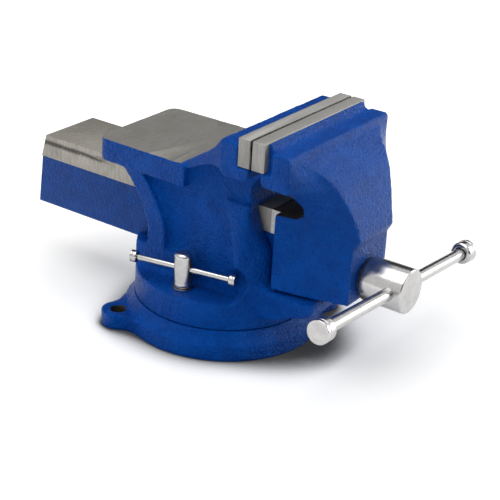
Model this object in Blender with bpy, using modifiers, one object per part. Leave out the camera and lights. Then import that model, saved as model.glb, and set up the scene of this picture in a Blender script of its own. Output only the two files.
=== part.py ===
"""Swivel bench vise: a cast body on a swivel base, with a sliding front jaw, its screw and a T handle.

X runs across the jaws, the front of the vise looks along -Y, Z is up and the bench is at height zero.
The swivel axis is the Z axis. Lengths are in metres and angles in degrees unless a name says otherwise.
"""
import math

import bmesh
import bpy
from mathutils import Matrix

# Fits and helper lengths
CLEARANCE = 0.0003          # between pieces that touch, slide or turn on each other
OVERRUN = 0.002             # how far a cutter passes a face
SINK = 0.004                # how far a solid reaches into the one it is joined to
MERGE_DISTANCE = 0.00001

# Swivel base
BASE_FOOT_RADIUS = 0.074
BASE_RIM_RADIUS = 0.0725
BASE_RIM_HEIGHT = 0.011
BASE_TOP_RADIUS = 0.0664
BASE_HEIGHT = 0.0198
BASE_FLOOR = 0.0055
SLOT_RADIUS = 0.0505        # swivel axis to the clamping bolts
SLOT_NECK_WIDTH = 0.0098
SLOT_HEAD_WIDTH = 0.0180
SLOT_HEAD_HEIGHT = 0.0080
REGISTER_RADIUS = 0.0376    # locating ring that the body turns on
REGISTER_WALL = 0.0060
REGISTER_RISE = 0.0060
LUG_REACH = 0.0790          # swivel axis to the bench bolt
LUG_RADIUS = 0.0125
LUG_HEIGHT = 0.0115
LUG_FILLET = 0.0180
LUG_HOLE_DIAMETER = 0.0115
LUG_ANGLES = (141.5, 321.5)
SLOT_ENTRY_ANGLE = 52.0

# Body: drum, tower, channel
DRUM_RADIUS = 0.0654
DRUM_HEIGHT = 0.0205
DRUM_HOLLOW_RADIUS = 0.0380
DRUM_ROOF = 0.0060
HOLLOW_NECK_RADIUS = 0.0260
BLOCK_HALF_WIDTH = 0.0410   # rear block and rear ribs
BLOCK_RISE = 0.0185         # rear block above the drum's shoulder
TOWER_HALF_WIDTH = 0.0360
TOWER_BACK = 0.0410
TOWER_BACK_FLARE = 0.0230
REAR_RIB_WIDTH = 0.0165
FRONT_RIB_INNER = 0.0425    # swivel axis to the rear flank of the front rib
FRONT_RIB_LEAN = 0.0175
FRONT_RIB_FOOT_HALF_WIDTH = 0.0510
FRONT_RIB_TOP_HALF_WIDTH = 0.0385
FRONT_FACE = 0.0595
FRONT_FACE_LEAN = 0.0125
CHANNEL_RISE = 0.0136       # beam channel's floor above the drum's shoulder
CHANNEL_SLACK = 0.0004
CHANNEL_FLOOR_THICKNESS = 0.0060
CHANNEL_ROOF = 0.0024

# Anvil, rear jaw and tongue
ANVIL_THICKNESS = 0.0168
ANVIL_FRONT = 0.0080
ANVIL_BACK = 0.0880
ANVIL_FRONT_HALF_WIDTH = 0.0460
ANVIL_BACK_HALF_WIDTH = 0.0443
ANVIL_SHIFT = 0.0025        # slab's middle to the right of the vise's middle
ANVIL_CORNER = 0.0080
CAST_EDGE = 0.0012
JAW_RISE = 0.0410           # plate tops above the anvil
REAR_JAW_BACK = 0.0355
REAR_JAW_DROP = 0.0048      # rear jaw's top strip below the plate tops
REAR_JAW_END_CHAMFER = 0.0048
SLOPE_FOOT = 0.0120
TONGUE_HALF_WIDTH = 0.0345
TONGUE_REACH = 0.0990
TONGUE_END_THICKNESS = 0.0110
TONGUE_ROOT_THICKNESS = 0.0230
TONGUE_DROP = 0.0008
TONGUE_ROUND = 0.0025

# Jaw plates and their screws
JAW_WIDTH = 0.1250
JAW_PLANE = 0.0600          # swivel axis to the plane where the jaws meet
JAW_GAP = 0.0008
PLATE_THICKNESS = 0.0102
PLATE_HEIGHT = 0.0204
PLATE_EDGE = 0.0006
PLATE_SCREW_SPACING = 0.0720
PLATE_SCREW_HEAD_DIAMETER = 0.0120
PLATE_SCREW_HEAD_LENGTH = 0.0055
PLATE_SCREW_SHANK_DIAMETER = 0.0066
PLATE_SCREW_SHANK_LENGTH = 0.0120
PLATE_SCREW_SOCKET_DIAMETER = 0.0060
PLATE_SCREW_SOCKET_DEPTH = 0.0030
PLATE_SCREW_INSET = 0.0004  # screw heads below the plate's face
LIP_HEIGHT = 0.0092
LIP_ROUND = 0.0030
REAR_LIP_REACH = 0.0016     # rear jaw's lip behind the jaw plane
FRONT_LIP_REACH = 0.0078    # front jaw's lip ahead of the jaw plane

# Sliding jaw and its beam
BEAM_WIDTH = 0.0535
BEAM_DEPTH = 0.0557
BEAM_STRIP_DEPTH = 0.0176   # machined guide strip along the beam's top
BEAM_STRIP_STEP = 0.0005
BEAM_BACK = 0.1520
BEAM_BACK_LEAN = 0.0045      # strip's lower rear corner behind its upper one
BEAM_FOOT_LEAN = 0.0035      # beam's lower rear corner behind the strip's
BEAM_WALL = 0.0088
JAW_BACK = 0.0639
JAW_FRONT = 0.1200
JAW_SIDE_HALF_WIDTH = 0.0360
JAW_FRONT_HALF_WIDTH = 0.0235
JAW_BEND_INSET = 0.0023     # bend of the jaw's sides behind the columns' front
JAW_SIDE_BEND_HALF_WIDTH = 0.0315
JAW_FLOOR_LIFT = 0.0010
COLUMN_BACK = 0.0763
COLUMN_FRONT = 0.0903
SHOULDER_DROP = 0.0052      # front jaw's shoulder below the plate tops
JAW_FLARE_HEIGHT = 0.0330   # how far below the lip the jaw's sides start to spread
RIDGE_HALF_WIDTH = 0.0580
RIDGE_THICKNESS = 0.0015
THROAT_END = 0.0866
THROAT_HEIGHT = 0.0194
THROAT_RISE = 0.0014        # throat slot's floor above the beam
SHIELD_TOP_REACH = 0.0932
SHIELD_REACH = 0.1245
SHIELD_TOP_HALF_WIDTH = 0.0500
SHIELD_PROUD = 0.0025
SHIELD_HEIGHT = 0.0545
SHIELD_TOP_DROP = 0.0121    # shield's top edge below the plate tops
SHIELD_SKIRT = 0.0050
SHIELD_BORDER = 0.0005
SHIELD_DEPTH = 0.0080
JAW_WALL = 0.0120           # front wall that the screw passes

# Screw, its collar and its nut
SCREW_RISE = 0.01524        # screw axis above the beam's bottom
SPINDLE_HEAD_DIAMETER = 0.0320
SPINDLE_HEAD_LENGTH = 0.0325
SPINDLE_HEAD_CHAMFER = 0.0012
JOURNAL_DIAMETER = 0.0200
THREAD_DIAMETER = 0.0180
THREAD_DEPTH = 0.0018
THREAD_PITCH = 0.0050
THREAD_RELIEF = 0.0100
SCREW_TIP_INSET = 0.0040    # thread's end inside the beam's rear end
WASHER_THICKNESS = 0.0015
SPINDLE_WASHER_DIAMETER = 0.0290
COLLAR_DIAMETER = 0.0280
COLLAR_LENGTH = 0.0090
PIN_DIAMETER = 0.0030
NUT_LENGTH = 0.0360
NUT_HALF_WIDTH = 0.0140
NUT_HEIGHT = 0.0295
NUT_EDGE = 0.0015
NUT_STEM_DIAMETER = 0.0120
NUT_STEM_LENGTH = 0.0175
NUT_WASHER_DIAMETER = 0.0240
STEM_NUT_WIDTH = 0.0190
STEM_NUT_HEIGHT = 0.0080

# T handle
HANDLE_DIAMETER = 0.0090
HANDLE_LENGTH = 0.1995      # bar alone, its ends inside the caps
HANDLE_SHIFT = -0.0005      # bar's middle from the screw axis
HANDLE_TILT = 4.3
HANDLE_INSET = 0.0095       # bar axis behind the head's front face
HANDLE_CAP_DIAMETER = 0.0166
HANDLE_CAP_LENGTH = 0.0110
HANDLE_CAP_WALL = 0.0030

# Clamping nuts
LOCK_NUT_DIAMETER = 0.0130
LOCK_NUT_HEIGHT = 0.0262
LOCK_NUT_DOME = 0.0016
LOCK_WASHER_DIAMETER = 0.0154
LOCK_WASHER_THICKNESS = 0.0012
LOCK_BAR_DIAMETER = 0.0044
LOCK_BAR_RISE = 0.0154      # bar axis above the shoulder
LOCK_BAR_LENGTH = 0.0770
LOCK_BAR_TURN = 11.3
LOCK_CAP_DIAMETER = 0.0088
LOCK_CAP_LENGTH = 0.0050
LOCK_CAP_WALL = 0.0024
LOCK_BOLT_DIAMETER = 0.0086
LOCK_BOLT_HEAD_WIDTH = 0.0160
LOCK_BOLT_HEAD_HEIGHT = 0.0070
LOCK_BOLT_TIP = 0.0030      # bolt's end below the lock bar

# Shares of the sizes that they follow, and counts
FLARE_START_SHARE = 0.42
SWEEP_POWER = 1.6
RIB_POWER = 1.05
TOWER_LEVEL_SHARES = (0.42, 0.55, 0.68, 0.80, 0.90, 1.0)
SLOPE_SHARES = (0.0, 0.15, 0.32, 0.5, 0.68, 0.85, 1.0)
SLOPE_POWER = 0.8
SLOPE_UNDERSIDE_SHARES = ((0.0, 0.41), (0.22, 0.36), (0.41, 0.26), (0.74, 0.03), (1.0, -0.15))
SLOPE_PLAN_SHARES = ((0.0, 0.992), (0.22, 0.912), (0.41, 0.85), (0.74, 0.733), (1.0, 0.64))
RIB_LEVEL_SHARES = ((-0.3, 1.0), (0.27, 0.96), (0.48, 0.68), (0.62, 0.40), (0.78, 0.16), (1.15, 0.0))
THROAT_CURVE_SHARES = ((0.0, 1.0), (0.24, 1.24), (0.5, 1.17), (0.76, 0.76), (1.0, 0.30))
JAW_FLARE_SHARES = ((0.0, 0.0, 0.0), (0.2, 0.0, 0.05), (0.42, 0.0, 0.16), (0.63, 0.05, 0.33),
                    (0.81, 0.25, 0.58), (0.93, 0.58, 0.80), (1.0, 1.0, 1.0))
SHIELD_SHARES = ((0.0, 0.0, 0.0), (0.060, 0.093, 0.20), (0.143, 0.284, 0.38), (0.238, 0.447, 0.49),
                 (0.363, 0.613, 0.62), (0.604, 0.80, 0.82), (0.833, 0.933, 0.96), (1.0, 1.0, 1.0))
CAP_PROFILE_SHARES = ((0.85, 0.0), (1.0, 0.10), (1.0, 0.37), (0.86, 0.43), (0.86, 0.50), (0.94, 0.56),
                      (0.94, 0.94), (0.86, 1.0))
LOCK_DOME_SHARES = ((0.70, 0.0), (0.90, 0.25), (1.0, 1.0))
HEX_SIDES = 6
ROUND_STEPS = 64
BORE_STEPS = 32
SMALL_STEPS = 20
THREAD_STEPS = 10
ARC_STEPS = 6
SMOOTH_ANGLE = 35.0

# Heights and places that follow from the sizes above
JAW_SIDE_BEND = COLUMN_FRONT - JAW_BEND_INSET
DRUM_BOTTOM = BASE_HEIGHT + CLEARANCE
SHOULDER = DRUM_BOTTOM + DRUM_HEIGHT
CHANNEL_FLOOR = SHOULDER + CHANNEL_RISE
BEAM_BOTTOM = CHANNEL_FLOOR + CLEARANCE
BEAM_TOP = BEAM_BOTTOM + BEAM_DEPTH
CHANNEL_TOP = BEAM_TOP + CHANNEL_SLACK
CHANNEL_HALF_WIDTH = BEAM_WIDTH / 2 + CLEARANCE
ANVIL_BOTTOM = CHANNEL_TOP + CHANNEL_ROOF
ANVIL_TOP = ANVIL_BOTTOM + ANVIL_THICKNESS
PLATE_TOP = ANVIL_TOP + JAW_RISE
PLATE_BOTTOM = PLATE_TOP - PLATE_HEIGHT
LIP_TOP = PLATE_BOTTOM - CLEARANCE
LIP_BOTTOM = LIP_TOP - LIP_HEIGHT
REAR_JAW_TOP = PLATE_TOP - REAR_JAW_DROP
FRONT_JAW_TOP = PLATE_TOP - SHOULDER_DROP
REAR_PLATE_FACE = -JAW_PLANE + JAW_GAP / 2
REAR_SEAT = REAR_PLATE_FACE + PLATE_THICKNESS + CLEARANCE
FRONT_PLATE_FACE = -JAW_PLANE - JAW_GAP / 2
FRONT_SEAT = FRONT_PLATE_FACE - PLATE_THICKNESS - CLEARANCE
BEAM_CAVITY_HALF_WIDTH = BEAM_WIDTH / 2 - BEAM_WALL
BEAM_CAVITY_TOP = BEAM_TOP - BEAM_WALL
SCREW_AXIS = BEAM_BOTTOM + SCREW_RISE
WALL_BACK = -JAW_FRONT + JAW_WALL
HEAD_BACK = -JAW_FRONT - WASHER_THICKNESS - 2 * CLEARANCE
HEAD_FRONT = HEAD_BACK - SPINDLE_HEAD_LENGTH
COLLAR_FRONT = WALL_BACK + CLEARANCE
COLLAR_BACK = COLLAR_FRONT + COLLAR_LENGTH
THREAD_START = COLLAR_BACK + THREAD_RELIEF
HANDLE_PLACE = (0.0, HEAD_FRONT + HANDLE_INSET, SCREW_AXIS)
LOCK_BAR_HEIGHT = SHOULDER + LOCK_BAR_RISE
LOCK_NUT_BOTTOM = SHOULDER + LOCK_WASHER_THICKNESS + 2 * CLEARANCE
SLOT_CEILING = BASE_FLOOR + SLOT_HEAD_HEIGHT
THROAT_FLOOR = BEAM_TOP + THROAT_RISE
THROAT_TOP = THROAT_FLOOR + THROAT_HEIGHT

# Materials: colour, roughness and metallic value of each
FINISHES = {
    "blue_paint": ((0.012, 0.062, 0.300, 1.0), 0.38, 0.0),
    "ground_steel": ((0.36, 0.33, 0.30, 1.0), 0.42, 0.9),
    "dark_steel": ((0.10, 0.10, 0.10, 1.0), 0.45, 0.9),
    "chrome": ((0.66, 0.66, 0.67, 1.0), 0.16, 1.0),
    "nut_iron": ((0.20, 0.19, 0.18, 1.0), 0.6, 0.7),
}


def clear_scene():
    """Remove what the scene holds, so that only the vise is left."""
    for old in list(bpy.data.objects):
        bpy.data.objects.remove(old, do_unlink=True)


def new_collection(name):
    group = bpy.data.collections.new(name)
    bpy.context.scene.collection.children.link(group)
    return group


def new_material(name):
    colour, roughness, metallic = FINISHES[name]
    material = bpy.data.materials.new(name)
    material.use_nodes = True
    shader = material.node_tree.nodes["Principled BSDF"]
    shader.inputs["Base Color"].default_value = colour
    shader.inputs["Roughness"].default_value = roughness
    shader.inputs["Metallic"].default_value = metallic
    material.diffuse_color = colour
    return material


def add_object(name, mesh, group):
    thing = bpy.data.objects.new(name, mesh)
    group.objects.link(thing)
    return thing


def mesh_from(bm, name):
    """Mesh with its faces out and its round sides smooth."""
    bmesh.ops.recalc_face_normals(bm, faces=bm.faces)
    mesh = bpy.data.meshes.new(name)
    bm.to_mesh(mesh)
    bm.free()
    mesh.shade_smooth()
    mesh.set_sharp_from_angle(angle=math.radians(SMOOTH_ANGLE))
    return mesh


def box_mesh(name, low, high):
    """Box between two corners."""
    bm = bmesh.new()
    bmesh.ops.create_cube(bm, size=1.0)
    size = [b - a for a, b in zip(low, high)]
    middle = [(a + b) / 2 for a, b in zip(low, high)]
    bmesh.ops.scale(bm, vec=size, verts=bm.verts)
    bmesh.ops.translate(bm, vec=middle, verts=bm.verts)
    return mesh_from(bm, name)


def rod_mesh(name, radius, bottom, top, steps=BORE_STEPS):
    """Cylinder on the local Z axis."""
    bm = bmesh.new()
    bmesh.ops.create_cone(bm, cap_ends=True, segments=steps, radius1=radius, radius2=radius,
                          depth=top - bottom)
    bmesh.ops.translate(bm, vec=(0.0, 0.0, (top + bottom) / 2), verts=bm.verts)
    return mesh_from(bm, name)


def loft_mesh(name, rings):
    """Closed solid through rings of equal point counts, capped at both ends."""
    bm = bmesh.new()
    rows = [[bm.verts.new(point) for point in ring] for ring in rings]
    count = len(rows[0])
    for lower, upper in zip(rows, rows[1:]):
        for i in range(count):
            j = (i + 1) % count
            bm.faces.new((lower[i], lower[j], upper[j], upper[i]))
    bm.faces.new(rows[0])
    bm.faces.new(rows[-1])
    return mesh_from(bm, name)


def outline_mesh(name, outline, half_depth):
    """Flat outline with a thickness, lying in the local XY plane."""
    curve = bpy.data.curves.new(name, "CURVE")
    curve.dimensions = "2D"
    curve.fill_mode = "BOTH"
    curve.extrude = half_depth
    spline = curve.splines.new("POLY")
    spline.points.add(len(outline) - 1)
    for point, (u, v) in zip(spline.points, outline):
        point.co = (u, v, 0.0, 1.0)
    spline.use_cyclic_u = True
    holder = bpy.data.objects.new(name, curve)
    bpy.context.scene.collection.objects.link(holder)
    bpy.context.view_layer.update()
    evaluated = holder.evaluated_get(bpy.context.evaluated_depsgraph_get())
    mesh = bpy.data.meshes.new_from_object(evaluated)
    bpy.data.objects.remove(holder, do_unlink=True)
    bm = bmesh.new()
    bm.from_mesh(mesh)
    bmesh.ops.remove_doubles(bm, verts=bm.verts, dist=MERGE_DISTANCE)
    return mesh_from(bm, name)


def side_mesh(name, outline, half_width):
    """Outline of (y, z) points, as thick along X as two half widths."""
    mesh = outline_mesh(name, outline, half_width)
    mesh.transform(Matrix(((0, 0, 1, 0), (1, 0, 0, 0), (0, 1, 0, 0), (0, 0, 0, 1))))
    return mesh


def plan_mesh(name, outline, bottom, top):
    """Outline of (x, y) points between two heights."""
    mesh = outline_mesh(name, outline, (top - bottom) / 2)
    mesh.transform(Matrix.Translation((0.0, 0.0, (top + bottom) / 2)))
    return mesh


def front_mesh(name, outline, low, high):
    """Outline of (x, z) points between two places along Y."""
    mesh = outline_mesh(name, outline, (high - low) / 2)
    mesh.transform(Matrix(((1, 0, 0, 0), (0, 0, -1, (high + low) / 2), (0, 1, 0, 0), (0, 0, 0, 1))))
    return mesh


def turned(name, profile, group, steps=ROUND_STEPS, ring=False):
    """Screw modifier round the local Z axis on a (radius, height) profile that runs down the outer side."""
    mesh = bpy.data.meshes.new(name)
    points = [(radius, 0.0, height) for radius, height in profile]
    edges = [(i, i + 1) for i in range(len(points) - 1)]
    if ring:
        edges.append((len(points) - 1, 0))
    mesh.from_pydata(points, edges, [])
    thing = add_object(name, mesh, group)
    screw = thing.modifiers.new("Turn", "SCREW")
    screw.axis = "Z"
    screw.steps = steps
    screw.render_steps = steps
    screw.use_merge_vertices = True
    screw.merge_threshold = MERGE_DISTANCE
    screw.use_smooth_shade = True
    return thing


def rounded(thing, width, segments=2):
    """Bevel on the object's sharp edges."""
    bevel = thing.modifiers.new("Edges", "BEVEL")
    bevel.width = width
    bevel.segments = segments
    bevel.limit_method = "ANGLE"
    bevel.angle_limit = math.radians(SMOOTH_ANGLE)
    return thing


def put(thing, place=(0.0, 0.0, 0.0), turn=(0.0, 0.0, 0.0)):
    thing.location = place
    thing.rotation_euler = [math.radians(angle) for angle in turn]
    return thing


def arc(centre, radius, start, end, steps=ARC_STEPS):
    """Points of an arc in a plane, by its centre, radius and end angles."""
    angles = [math.radians(start + (end - start) * i / steps) for i in range(steps + 1)]
    return [(centre[0] + radius * math.cos(a), centre[1] + radius * math.sin(a)) for a in angles]


def eased(share, power):
    """Nothing up to the flare's start, then rising to 1 at share 1."""
    return max(0.0, (share - FLARE_START_SHARE) / (1 - FLARE_START_SHARE)) ** power


def between(low, high, share):
    return low + (high - low) * share


class Workshop:
    """Collections, materials and the joining and cutting of solids."""

    def __init__(self):
        self.parts = new_collection("bench_vise")
        self.tools = new_collection("cutters")
        self.materials = {name: new_material(name) for name in FINISHES}

    def tool(self, mesh):
        """Helper solid that joins or cuts a piece."""
        thing = mesh if isinstance(mesh, bpy.types.Object) else add_object(mesh.name, mesh, self.tools)
        thing.hide_render = True
        thing.display_type = "WIRE"
        return thing

    def combine(self, thing, tool, operation):
        boolean = thing.modifiers.new(operation.title(), "BOOLEAN")
        boolean.operation = operation
        boolean.solver = "EXACT"
        boolean.object = tool

    def join(self, thing, mesh):
        self.combine(thing, self.tool(mesh), "UNION")

    def cut(self, thing, mesh):
        self.combine(thing, self.tool(mesh), "DIFFERENCE")

    def keep(self, thing, mesh):
        self.combine(thing, self.tool(mesh), "INTERSECT")

    def piece(self, name, mesh, finish):
        thing = add_object(name, mesh, self.parts)
        return self.paint(thing, finish)

    def paint(self, thing, finish):
        thing.data.materials.append(self.materials[finish])
        return thing


def lug_outline():
    """Plan of a lug that points along +X: its own arc, and a hollow fillet each side back to the rim."""
    rim_reach = BASE_FOOT_RADIUS + LUG_FILLET
    lug_reach = LUG_RADIUS + LUG_FILLET
    spread = math.acos((rim_reach ** 2 + LUG_REACH ** 2 - lug_reach ** 2) / (2 * rim_reach * LUG_REACH))
    centre = (rim_reach * math.cos(spread), rim_reach * math.sin(spread))
    swing = math.atan2(centre[1], centre[0] - LUG_REACH)
    nose = arc((LUG_REACH, 0.0), LUG_RADIUS, -math.degrees(swing), math.degrees(swing), 2 * ARC_STEPS)
    fillet = arc(centre, LUG_FILLET, 180 + math.degrees(swing), 180 + math.degrees(spread))
    root = BASE_FOOT_RADIUS - SINK
    upper = nose + fillet[1:] + [(root * math.cos(spread), root * math.sin(spread))]
    mirrored = [(x, -y) for x, y in fillet[:0:-1]]
    return upper + [(root * math.cos(spread), -root * math.sin(spread))] + mirrored


def make_base(shop):
    """Cast ring on the bench, with its lugs, locating ring and T-slot."""
    neck = (SLOT_RADIUS - SLOT_NECK_WIDTH / 2, SLOT_RADIUS + SLOT_NECK_WIDTH / 2)
    head = (SLOT_RADIUS - SLOT_HEAD_WIDTH / 2, SLOT_RADIUS + SLOT_HEAD_WIDTH / 2)
    register_top = BASE_HEIGHT + REGISTER_RISE
    profile = [
        (0.0, BASE_FLOOR),
        (REGISTER_RADIUS - REGISTER_WALL, BASE_FLOOR),
        (REGISTER_RADIUS - REGISTER_WALL, register_top),
        (REGISTER_RADIUS, register_top),
        (REGISTER_RADIUS, BASE_HEIGHT),
        (neck[0], BASE_HEIGHT),
        (neck[0], SLOT_CEILING),
        (head[0], SLOT_CEILING),
        (head[0], BASE_FLOOR),
        (head[1], BASE_FLOOR),
        (head[1], SLOT_CEILING),
        (neck[1], SLOT_CEILING),
        (neck[1], BASE_HEIGHT),
        (BASE_TOP_RADIUS, BASE_HEIGHT),
        (BASE_RIM_RADIUS, BASE_RIM_HEIGHT),
        (BASE_FOOT_RADIUS, 0.0),
        (0.0, 0.0),
    ]
    base = shop.paint(turned("swivel_base", profile, shop.parts), "blue_paint")
    for angle in LUG_ANGLES:
        lug = shop.tool(plan_mesh("lug", lug_outline(), 0.0, LUG_HEIGHT))
        shop.combine(base, put(lug, turn=(0.0, 0.0, angle)), "UNION")
        hole = shop.tool(rod_mesh("lug_hole", LUG_HOLE_DIAMETER / 2, -OVERRUN, BASE_HEIGHT))
        place = (LUG_REACH * math.cos(math.radians(angle)), LUG_REACH * math.sin(math.radians(angle)), 0.0)
        shop.combine(base, put(hole, place), "DIFFERENCE")
    half = SLOT_HEAD_WIDTH / 2
    entry = shop.tool(box_mesh("slot_entry", (SLOT_RADIUS - half, -half, BASE_FLOOR + CLEARANCE),
                               (SLOT_RADIUS + half, half, BASE_HEIGHT + OVERRUN)))
    shop.combine(base, put(entry, turn=(0.0, 0.0, SLOT_ENTRY_ANGLE)), "DIFFERENCE")
    return base


def tower_height(share):
    """Height in the tower, from the drum's shoulder at 0 to the anvil's underside at 1."""
    return between(SHOULDER, ANVIL_BOTTOM, share)


def tower_back(share):
    return TOWER_BACK + TOWER_BACK_FLARE * eased(share, SWEEP_POWER)


def tower_front(share):
    return -FRONT_FACE + FRONT_FACE_LEAN * eased(share, SWEEP_POWER)


def rib_flank(share):
    return -FRONT_RIB_INNER + FRONT_RIB_LEAN * eased(share, RIB_POWER)


def slope_top(share):
    """Height of the slope behind the rear jaw, from the jaw's top strip at 0 to the anvil at 1."""
    return REAR_JAW_TOP - (REAR_JAW_TOP - ANVIL_TOP) * share ** SLOPE_POWER


def slope_place(share):
    return between(-REAR_JAW_BACK, SLOPE_FOOT, share)


def slope_underside(share):
    return ANVIL_TOP + (REAR_JAW_TOP - ANVIL_TOP) * share


def make_front_rib(shop):
    """Column that sweeps from the drum's front up to the jaw's neck, wide at its foot."""
    root = tower_height(0.0) - SINK
    flank = [(rib_flank(share), tower_height(share)) for share in TOWER_LEVEL_SHARES]
    front = [(tower_front(share), tower_height(share)) for share in TOWER_LEVEL_SHARES]
    outline = [(-FRONT_FACE, root), (-FRONT_RIB_INNER, root)] + flank + front[::-1]
    rib = shop.tool(side_mesh("front_rib", outline, DRUM_RADIUS))
    widths = [(between(FRONT_RIB_TOP_HALF_WIDTH, FRONT_RIB_FOOT_HALF_WIDTH, width), tower_height(share))
              for share, width in RIB_LEVEL_SHARES]
    envelope = widths + [(-x, z) for x, z in widths[::-1]]
    shop.keep(rib, front_mesh("front_rib_width", envelope, -DRUM_RADIUS, 0.0))
    return rib


def make_neck(shop):
    """Wall under the rear jaw, with the concave throat at its front."""
    front = [(tower_front(share), tower_height(share)) for share in TOWER_LEVEL_SHARES[-2:]]
    throat = [(-FRONT_FACE + FRONT_FACE_LEAN * reach, between(ANVIL_BOTTOM, LIP_BOTTOM, rise))
              for rise, reach in THROAT_CURVE_SHARES]
    inside = [(throat[-1][0] + SINK, LIP_BOTTOM + SINK), (-REAR_JAW_BACK - SINK, LIP_BOTTOM + SINK)]
    under = [(slope_place(along), (slope_top(along) + slope_underside(under)) / 2)
             for along, under in SLOPE_UNDERSIDE_SHARES]
    low = front[0][1]
    outline = front[:-1] + throat + inside + under + [(SLOPE_FOOT, low)]
    return shop.tool(side_mesh("neck", outline, TOWER_HALF_WIDTH))


def make_slope(shop):
    """Web that falls from the rear jaw to the anvil, narrowing on the way."""
    top = [(slope_place(share), slope_top(share)) for share in SLOPE_SHARES]
    under = [(slope_place(along), slope_underside(share)) for along, share in SLOPE_UNDERSIDE_SHARES]
    root = -REAR_JAW_BACK - SINK
    outline = [(root, REAR_JAW_TOP - SINK)] + top + [(SLOPE_FOOT + SINK, ANVIL_TOP - SINK)]
    outline += under[::-1] + [(root, under[0][1])]
    slope = shop.tool(side_mesh("slope", outline, JAW_WIDTH / 2))
    half = [(JAW_WIDTH / 2 * width, slope_place(along)) for along, width in SLOPE_PLAN_SHARES]
    half = [(half[0][0], root - SINK)] + half + [(half[-1][0], SLOPE_FOOT + 2 * SINK)]
    plan = half + [(-x, y) for x, y in half[::-1]]
    shop.keep(slope, plan_mesh("slope_plan", plan, ANVIL_BOTTOM - SINK, PLATE_TOP))
    return slope


def make_rear_jaw(shop):
    """Head that carries the rear plate: seat wall, lip and top strip with chamfered ends."""
    lip = -JAW_PLANE + REAR_LIP_REACH
    outline = [
        (lip, LIP_TOP),
        (lip, LIP_BOTTOM + LIP_ROUND),
        (lip + LIP_ROUND, LIP_BOTTOM),
        (-REAR_JAW_BACK - LIP_ROUND, LIP_BOTTOM),
        (-REAR_JAW_BACK, LIP_BOTTOM + LIP_ROUND),
        (-REAR_JAW_BACK, REAR_JAW_TOP),
        (REAR_SEAT, REAR_JAW_TOP),
        (REAR_SEAT, LIP_TOP),
    ]
    jaw = shop.tool(side_mesh("rear_jaw", outline, JAW_WIDTH / 2))
    half = JAW_WIDTH / 2
    chamfer = REAR_JAW_END_CHAMFER
    widths = [(half + OVERRUN, LIP_BOTTOM - SINK), (half + OVERRUN, REAR_JAW_TOP - chamfer + OVERRUN),
              (half - chamfer - OVERRUN, REAR_JAW_TOP + 2 * OVERRUN)]
    frame = widths + [(-x, z) for x, z in widths[::-1]]
    shop.keep(jaw, front_mesh("rear_jaw_ends", frame, -JAW_PLANE - OVERRUN, 0.0))
    return jaw


def make_tongue(shop):
    """Shelf under the sliding jaw, thick at its root."""
    top = CHANNEL_FLOOR - TONGUE_DROP
    root = -DRUM_RADIUS + TONGUE_ROOT_THICKNESS
    outline = [
        (root, top),
        (-TONGUE_REACH + TONGUE_ROUND, top),
        (-TONGUE_REACH, top - TONGUE_ROUND),
        (-TONGUE_REACH, top - TONGUE_END_THICKNESS + TONGUE_ROUND),
        (-TONGUE_REACH + TONGUE_ROUND, top - TONGUE_END_THICKNESS),
        (-DRUM_RADIUS, top - TONGUE_ROOT_THICKNESS),
        (root, top - TONGUE_ROOT_THICKNESS),
    ]
    return shop.tool(side_mesh("tongue", outline, TONGUE_HALF_WIDTH))


def make_anvil(shop):
    """Slab with a ground top behind the slope."""
    corner = (ANVIL_BACK_HALF_WIDTH - ANVIL_CORNER, ANVIL_BACK - ANVIL_CORNER)
    half = [(ANVIL_FRONT_HALF_WIDTH, ANVIL_FRONT)] + arc(corner, ANVIL_CORNER, 0, 90)
    outline = half + [(-x, y) for x, y in half[::-1]]
    slab = shop.tool(plan_mesh("anvil", outline, ANVIL_BOTTOM, ANVIL_TOP))
    return rounded(put(slab, (ANVIL_SHIFT, 0.0, 0.0)), CAST_EDGE, 1)


def screw_places():
    """Centres of a plate's two screws, left one first."""
    middle = (PLATE_TOP + PLATE_BOTTOM) / 2
    return [(side * PLATE_SCREW_SPACING / 2, middle) for side in (-1, 1)]


def cut_screw_holes(shop, casting, face, inward):
    """Blind holes for the plate screws, from the plate's front face into the casting."""
    radius = PLATE_SCREW_SHANK_DIAMETER / 2 + CLEARANCE
    depth = PLATE_SCREW_INSET + PLATE_SCREW_HEAD_LENGTH + PLATE_SCREW_SHANK_LENGTH + CLEARANCE
    for x, z in screw_places():
        hole = shop.tool(rod_mesh("plate_screw_hole", radius, 0.0, depth, SMALL_STEPS))
        shop.combine(casting, put(hole, (x, face, z), (-90 * inward, 0.0, 0.0)), "DIFFERENCE")


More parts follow.
